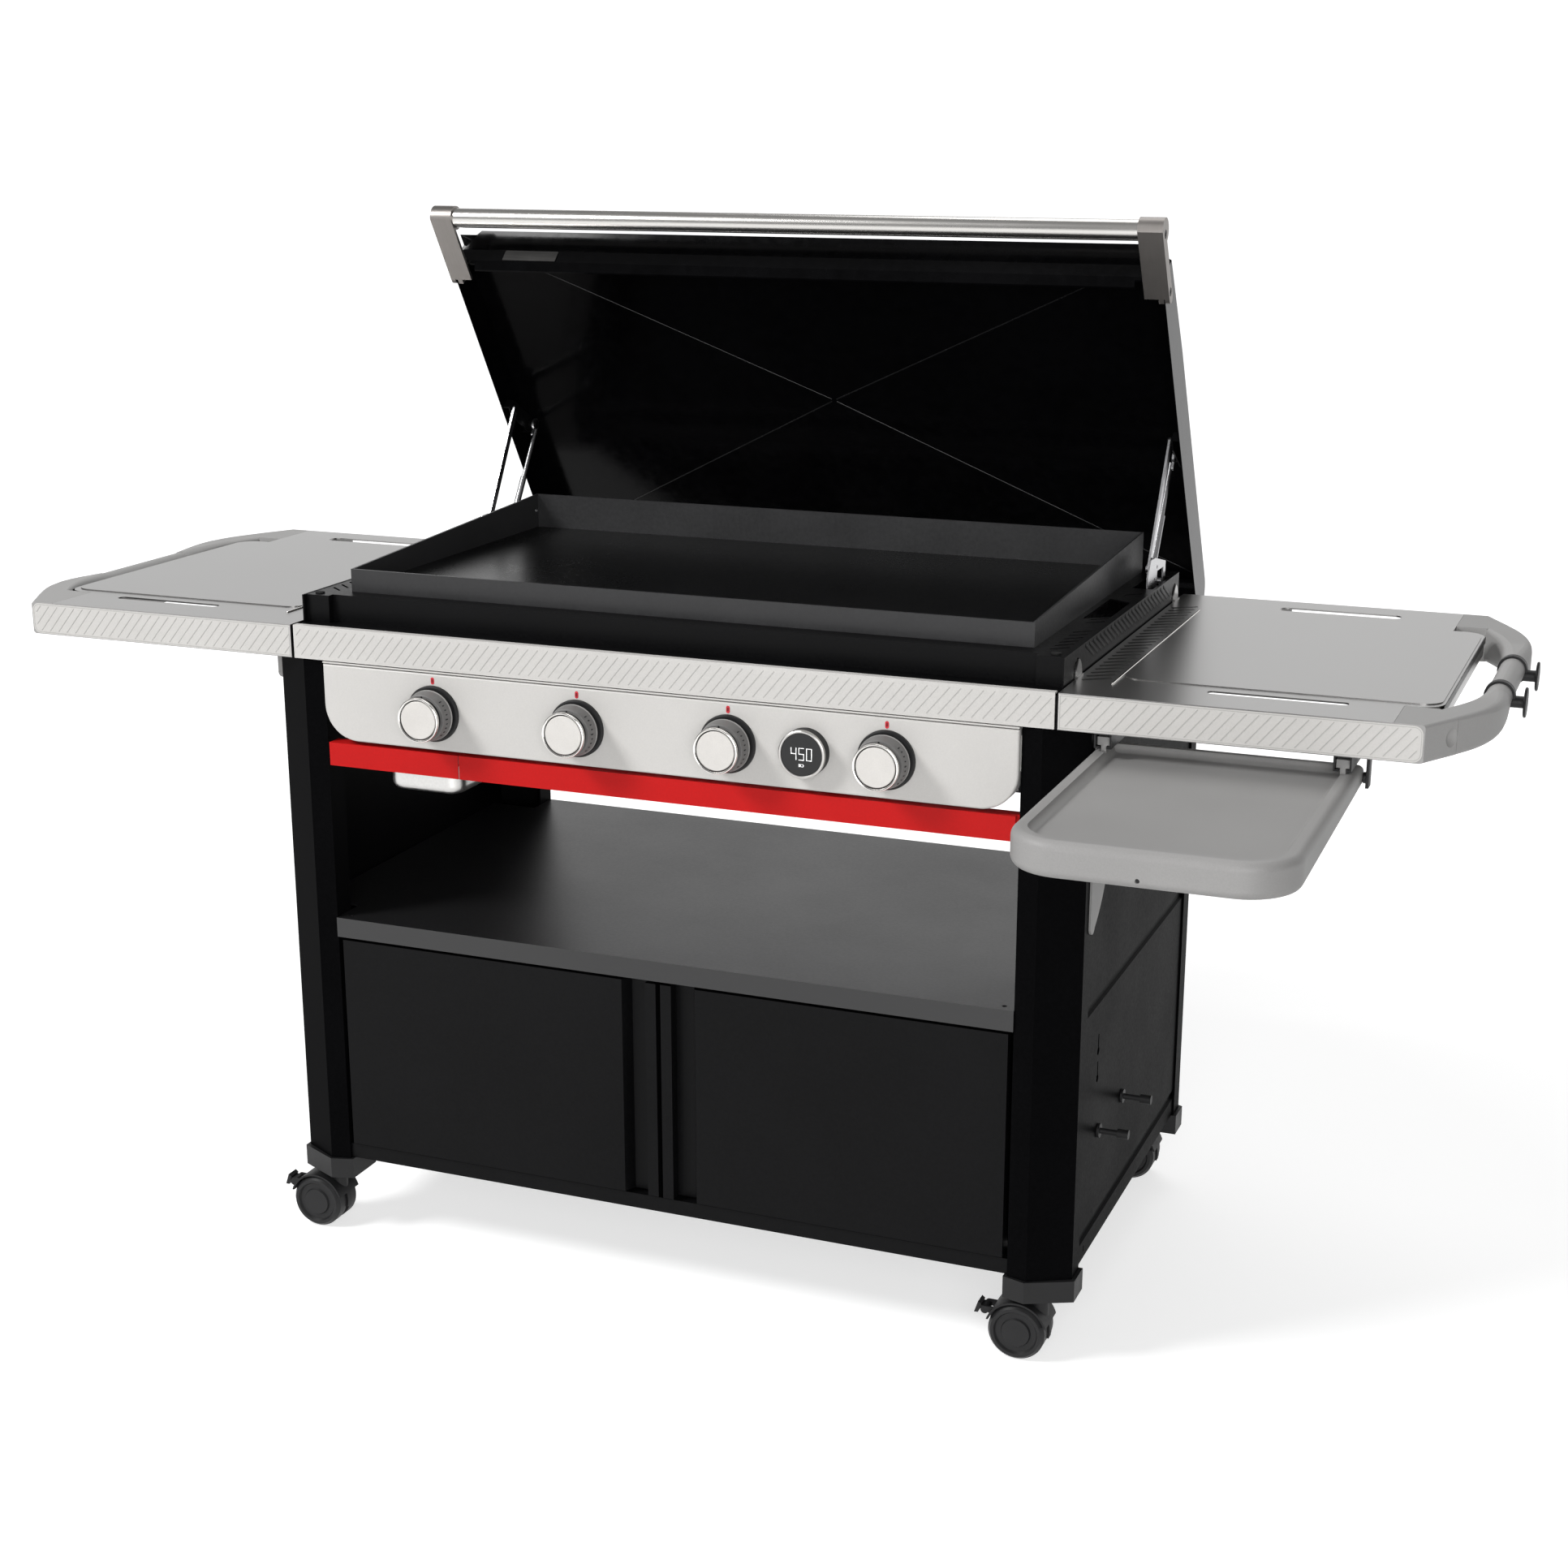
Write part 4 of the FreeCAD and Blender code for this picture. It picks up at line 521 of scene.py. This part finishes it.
def buildKnob(number, x):
    body = f"knob_{number}"
    centre = Vector((x, 0, knob["level"]))
    # look, slot, whether the profile closes on itself, profile
    parts = {
        "face": ("knobFacePaint", "knob_satin", False,
                 [(0, -38.9), (23.5, -38.9), (24.1, -38.4), (24.2, -36.6), (0, -36.6)]),
        "rim": ("knobChrome", "knob_satin", True,
                [(25.7, -36.4), (25.7, -38.9), (26.3, -39.7), (27.2, -40.0), (28.1, -39.6), (28.5, -38.8),
                 (28.5, -36.4), (28.1, -36.0), (25.9, -36.0)]),
        "neck": ("blackNylon", "knob_black", False,
                 [(0, -36.5), (25.2, -36.5), (25.5, -36.0), (25.5, -27.0), (0, -27.0)]),
        "collar": ("collarPlastic", "knob_black", True,
                   [(24.0, -27.6), (28.9, -27.6), knob["collarFront"], knob["collarBack"], (24.0, -12.0)]),
        "ring": ("collarRing", "knob_black", True,
                 [(24.0, -11.6), (32.0, -11.6), (32.5, -11.0), (32.5, -9.4), (32.1, -9.0), (24.0, -9.0)]),
    }
    for part, (finish, slotName, closed, profile) in parts.items():
        shape = bmesh.new()
        addSpun(shape, profile, centre, "Y", closed=closed)
        addPiece(f"{body}_{part}", shape, body, finish)
    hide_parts(body)
    # dark ticks round the right of the collar, at its radius half way along, and a dot at its top
    shape = bmesh.new()
    radius = (knob["collarFront"][0] + knob["collarBack"][0]) / 2
    half, inside, outside = knob["tickHalf"], radius - knob["tickSunk"], radius + knob["tickRaised"]
    for i in range(knob["ticks"]):
        angle = radians(90 + (i - knob["ticks"] // 2) * knob["tickStep"])
        long = knob["longTick"] if i % 4 == 0 else knob["shortTick"]
        start = knob["tickMiddle"] - long / 2
        verts = addBlock(shape, (-half, start, inside), (half, start + long, outside))
        bmesh.ops.rotate(shape, cent=(0, 0, 0), matrix=Matrix.Rotation(angle, 3, "Y"), verts=verts)
        bmesh.ops.translate(shape, vec=centre, verts=verts)
    addSpun(shape, knob["dotProfile"], centre + Vector(knob["dot"]), "Y", 16)
    addPiece(f"{body}_ticks", shape, body, "blackNylon")


for number, x in enumerate(knob["places"], 1):
    buildKnob(number, x)
print("knobs made")


# red pill over each knob

mark = {
    "level": 791.5,
    "width": 4.6,
    "height": 9.0,
    "thick": 0.4,
    "corner": 0.48,      # share of the width
    # piece's name, look, share of the full size, its middle in y
    "layers": (("marks", "markRed", 1.0, 0.75), ("mark_cores", "markDark", 0.55, 0.7)),
}


def buildMarks():
    for name, finish, share, middle in mark["layers"]:
        shape = bmesh.new()
        half = Vector((mark["width"] * share, mark["thick"], mark["height"] * share)) / 2
        corner = mark["width"] * share * mark["corner"]
        for x in knob["places"]:
            spot = Vector((x, middle, mark["level"]))
            addBlock(shape, spot - half, spot + half, corner, alongY, 6)
        addPiece("knob_" + name, shape, "cart", finish)


buildMarks()


# temperature display: chromed ring, dark glass, black barrel, lit figures

display = {
    "x": 201.6,
    "level": 749.5,
    "reading": "450",
    "digitWidth": 6.3,
    "digitHeight": 14.4,
    "digitPitch": 9.8,
    "digitLift": 0.6,        # above the display's middle
    "digitRelief": 0.25,
    "digitCorner": 0.45,
    "stroke": 0.8,
    "face": -15.7,
    # outline, nose and charge of a small battery sign: left, low, right, high
    "battery": ((-3.2, -14.9, 2.6, -14.5), (-3.2, -12.1, 2.6, -11.7), (-3.2, -14.9, -2.8, -11.7),
                (2.2, -14.9, 2.6, -11.7), (2.6, -13.9, 3.2, -12.7), (-2.2, -14.0, -0.6, -12.6)),
    "batteryRelief": 0.2,
}
# the bars that are lit in each figure
litBars = {"0": "abcdef", "4": "bcfg", "5": "acdfg"}


def addDigit(shape, figure, x, z):
    wide, tall, thick = display["digitWidth"] / 2, display["digitHeight"] / 2, display["stroke"] / 2
    bars = {
        "a": (-wide, wide, tall, tall), "g": (-wide, wide, 0, 0), "d": (-wide, wide, -tall, -tall),
        "f": (-wide, -wide, 0, tall), "b": (wide, wide, 0, tall),
        "e": (-wide, -wide, -tall, 0), "c": (wide, wide, -tall, 0),
    }
    for letter in litBars[figure]:
        x0, x1, z0, z1 = bars[letter]
        low = (x + x0 - thick, display["face"] - display["digitRelief"], z + z0 - thick)
        high = (x + x1 + thick, display["face"], z + z1 + thick)
        addBlock(shape, low, high, display["digitCorner"], alongY)


def buildDisplay():
    x, z, face = display["x"], display["level"], display["face"]
    centre = Vector((x, 0, z))
    # look, slot, whether the profile closes on itself, profile
    parts = {
        "ring": ("displayRing", "bright_steel", True,
                 [(26.2, -12.2), (26.2, -16.2), (26.9, -16.9), (28.2, -17.0), (29.2, -16.4), (29.5, -15.4),
                  (29.5, -12.6), (29.1, -12.0)]),
        "glass": ("darkGlass", "display_black", False,
                  [(0, -15.7), (25.6, -15.7), (26.1, -15.2), (26.1, -12.4), (0, -12.4)]),
        "barrel": ("blackNylon", "display_black", True,
                   [(20.0, -12.2), (28.4, -12.2), (29.0, -11.6), (29.3, 0.9), (20.0, 0.9)]),
    }
    for part, (finish, slotName, closed, profile) in parts.items():
        shape = bmesh.new()
        addSpun(shape, profile, centre, "Y", closed=closed)
        addPiece("display_" + part, shape, "cart", finish)
    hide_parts("display")
    shape = bmesh.new()
    middle = len(display["reading"]) // 2
    for i, figure in enumerate(display["reading"]):
        addDigit(shape, figure, x + (i - middle) * display["digitPitch"], z + display["digitLift"])
    front = face - display["batteryRelief"]
    for left, low, right, high in display["battery"]:
        addBlock(shape, (x + left, front, z + low), (x + right, face, z + high))
    addPiece("display_figures", shape, "cart", "litFigure")


buildDisplay()
print("display made")


# pressed dashes on the tables, dark with painted shade, and on the cookbox's sides, the rib that bounds the
# tables' pads, bright with a painted highlight, and the dark strip on the side of each table's tongue, a
# painted dark reflection

dash = {
    "pitch": 19.6,
    "inner": 515.0,
    "outer": 544.0,
    "lean": 36.4,        # degrees from x towards the rear
    "front": 84.0,
    "rear": 545.0,
    "width": 5.0,
    "height": 0.5,
    "corner": 0.45,
    "top": 848.0,        # of the table's sheet
    "rib": 552.6,
    "ribWidth": 2.6,
    "ribFront": 63.0,
    "ribRear": 519.0,
    "ribTall": 2.2,
    "ribLift": 0.5,
    "ribCorner": 0.7,
    "edge": 919.2,       # side of the tongue that reaches over the hoop's gap
    "edgeFront": 96.0,
    "edgeRear": 500.0,
    "edgeLow": 838.0,
    "edgeHigh": 847.0,
    "edgeThick": 0.5,
    "edgeCorner": 0.2,
}


def tableDashes(side, sideName):
    shape = bmesh.new()
    length = (dash["outer"] - dash["inner"]) / cos(radians(dash["lean"]))
    half = Vector((length, dash["width"], 2 * dash["height"])) / 2
    turn = Matrix.Rotation(side * radians(dash["lean"]), 3, "Z")
    x = side * (dash["inner"] + dash["outer"]) / 2
    y = dash["front"]
    while y < dash["rear"]:
        spot = Vector((x, y, dash["top"]))
        addBlock(shape, spot - half, spot + half, dash["corner"], segments=2, turn=turn)
        y += dash["pitch"]
    # the dashes' dark steel is painted shade in the pressings
    addPiece("table_dashes_" + sideName, shape, "cart", "shadeAndReflectionSteel")
    # rolled rib between the dashes and the pad, partly a real step, in the knobs' bright chrome: a painted
    # highlight on the table's steel
    shape = bmesh.new()
    half = Vector((dash["ribWidth"], dash["ribRear"] - dash["ribFront"], dash["ribTall"])) / 2
    level = dash["top"] + dash["ribLift"]
    spot = Vector((side * dash["rib"], (dash["ribFront"] + dash["ribRear"]) / 2, level))
    addBlock(shape, spot - half, spot + half, dash["ribCorner"])
    addPiece("table_rib_" + sideName, shape, "cart", "knobChrome")
    # painted dark reflection: a dark strip on the tongue's outer side
    shape = bmesh.new()
    low = Vector((side * dash["edge"] - dash["edgeThick"] / 2, dash["edgeFront"], dash["edgeLow"]))
    high = Vector((side * dash["edge"] + dash["edgeThick"] / 2, dash["edgeRear"], dash["edgeHigh"]))
    addBlock(shape, low, high, dash["edgeCorner"], segments=1)
    addPiece("table_edge_reflection_" + sideName, shape, "cart", "shadeAndReflectionSteel")


tableDashes(1, "right")
tableDashes(-1, "left")

wallDash = {
    "pitch": 17.0,
    "front": 52.0,
    "rear": 570.0,
    "tabs": (88.5, 580.5),     # the dashes leave the hook tabs clear
    "clear": 40.0,
    "run": 41.0,         # a dash's reach in y
    "drop": 19.0,        # and in z
    "lean": 24.9,        # degrees
    "x": 505.0,
    "level": 868.5,
    "thick": 0.8,
    "width": 4.2,
    "corner": 0.35,
}


def wallDashes(side, sideName):
    shape = bmesh.new()
    run = wallDash["run"]
    half = Vector((wallDash["thick"], hypot(run, wallDash["drop"]), wallDash["width"])) / 2
    turn = Matrix.Rotation(-radians(wallDash["lean"]), 3, "X")
    y = wallDash["front"]
    while y < wallDash["rear"] - run:
        middle = y + run / 2
        if all(abs(middle - tab) > wallDash["clear"] for tab in wallDash["tabs"]):
            spot = Vector((side * wallDash["x"], middle, wallDash["level"]))
            addBlock(shape, spot - half, spot + half, wallDash["corner"], segments=2, turn=turn)
        y += wallDash["pitch"]
    addPiece("wall_dashes_" + sideName, shape, "cart", "blackPowderCoat")


wallDashes(1, "right")
wallDashes(-1, "left")
print("dashes pressed")


# lid: the creased inner skin, a bare plate on the front wall, screws in the handle's brackets

# drawn flat, x across, s to the rear and t up, then laid into the open lid
lid = {
    "place": (0, 462.3, 1241.0),
    "tilt": 58.0,        # degrees
    "skinHalf": 501.8,
    "skinFront": (-57.0, 43.2),       # s and t of the skin's front edge
    "skinRear": (500.0, 52.6),
    "skinThick": 0.4,
    "crease": (0.0, 214.0, 53.9),
    "beadDrop": 0.6,     # below the skin
    "beadGap": 8.0,
    "beadWidth": 1.6,
    "beadThick": 0.5,
    "beadCorner": 0.2,
    "wallFoot": (-42.0, 5.0),         # s and t of the front wall's foot and top
    "wallTop": (-46.0, 24.0),
    "plate": (-424.0, -343.0),
    "plateTall": 17.5,
    "plateThick": 1.2,
    "plateOut": 0.7,     # from the foot, square to the wall and up along it
    "plateUp": 9.4,
    "plateCorner": 1.0,
    "screwX": 508.1,
    "screws": ((-102.0, 10.0), (-20.2, 5.8)),
    "screwProfile": ((0, 1.0), (2.2, 1.0), (2.4, 1.8), (4.6, 1.7), (5.2, 1.0), (5.3, 0.2)),
}
lidLay = Matrix.Translation(lid["place"]) @ Matrix.Rotation(-radians(lid["tilt"]), 4, "X")


def lidSkin():
    shape = bmesh.new()
    half = lid["skinHalf"]
    front, rear = lid["skinFront"], lid["skinRear"]
    around = ((-half, front), (half, front), (half, rear), (-half, rear))
    corners = [shape.verts.new((x, *edge)) for x, edge in around]
    middle = shape.verts.new(lid["crease"])
    for i in range(4):
        shape.faces.new((corners[i], corners[(i + 1) % 4], middle))
    bmesh.ops.recalc_face_normals(shape, faces=shape.faces)
    bmesh.ops.solidify(shape, geom=shape.faces, thickness=lid["skinThick"])
    addPiece("lid_skin", shape, "lid", "glossEnamel", lidLay)
    # a thin bead along each fold in a lighter enamel: a painted highlight on the crease
    shape = bmesh.new()
    drop = Vector((0, 0, lid["beadDrop"]))
    top = Vector(lid["crease"]) - drop
    for x, edge in around:
        corner = Vector((x, *edge)) - drop
        way = corner - top
        size = Vector((way.length - lid["beadGap"], lid["beadWidth"], lid["beadThick"])) / 2
        turn = way.to_track_quat("X", "Z").to_matrix()
        verts = addBlock(shape, -size, size, lid["beadCorner"], segments=1, turn=turn)
        bmesh.ops.translate(shape, vec=(corner + top) / 2, verts=verts)
    addPiece("lid_fold_highlights", shape, "lid", "foldHighlightEnamel", lidLay)


def lidPlate():
    # flat bare plate on the steep front wall
    shape = bmesh.new()
    x0, x1 = lid["plate"]
    foot = Vector((0, *lid["wallFoot"]))
    wall = (Vector((0, *lid["wallTop"])) - foot).normalized()
    out = Vector((0, -wall.z, wall.y))
    half = Vector((x1 - x0, lid["plateThick"], lid["plateTall"])) / 2
    turn = Matrix.Rotation(wall.angle(Vector((0, 0, 1))), 3, "X")
    spot = foot + out * lid["plateOut"] + wall * lid["plateUp"] + Vector(((x0 + x1) / 2, 0, 0))
    addBlock(shape, spot - half, spot + half, lid["plateCorner"], alongY, turn=turn)
    addPiece("lid_plate", shape, "lid", "plateSteel", lidLay)


def bracketScrews():
    shape = bmesh.new()
    for side in (-1, 1):
        profile = [(r, side * d) for r, d in lid["screwProfile"]]
        for s, t in lid["screws"]:
            addSpun(shape, profile, (side * lid["screwX"], s, t), "X", 24)
    addPiece("bracket_screws", shape, "lid", "blackNylon", lidLay)


lidSkin()
lidPlate()
bracketScrews()
print("lid dressed")


# darker floor of the pan, and the black strap and roller that carry the pull-out tray's outer rim

pan = {
    "half": 453.6,
    "front": 74.6,
    "rear": 586.4,
    "floor": 886.5,
    "thick": 0.25,
    "drain": (-384.0, -348.0, 93.0),      # left, right and rear of the slot
}


def panFloor():
    # three strips leave the drain slot open
    shape = bmesh.new()
    left, right, rear = pan["drain"]
    low, high = pan["floor"], pan["floor"] + pan["thick"]
    addBlock(shape, (-pan["half"], rear, low), (pan["half"], pan["rear"], high))
    addBlock(shape, (-pan["half"], pan["front"], low), (left, rear, high))
    addBlock(shape, (right, pan["front"], low), (pan["half"], rear, high))
    addPiece("pan_floor", shape, "cart", "darkerFloorPlate")


strap = {
    "x": (845.7, 849.3),
    "y": (51.7, 68.3),
    "z": (757.7, 802.6),
    "corner": 0.3,
    "roller": (842.2, 60.0, 768.0),
    "rollerRadius": 6.4,
    "rollerWidth": 3.2,
    "rollerEdge": (0.8, 0.6),      # its chamfer across and along the axis
}


def trayStrap():
    shape = bmesh.new()
    low, high = zip(strap["x"], strap["y"], strap["z"])
    addBlock(shape, low, high, strap["corner"], segments=2)
    radius, width = strap["rollerRadius"], strap["rollerWidth"]
    across, along = strap["rollerEdge"]
    profile = [(0, 0), (radius - across, 0), (radius, along), (radius, width), (0, width)]
    addSpun(shape, profile, strap["roller"], "X", 32)
    addPiece("tray_strap", shape, "cart", "blackNylon")


panFloor()
trayStrap()
print("pan floor and tray strap made")
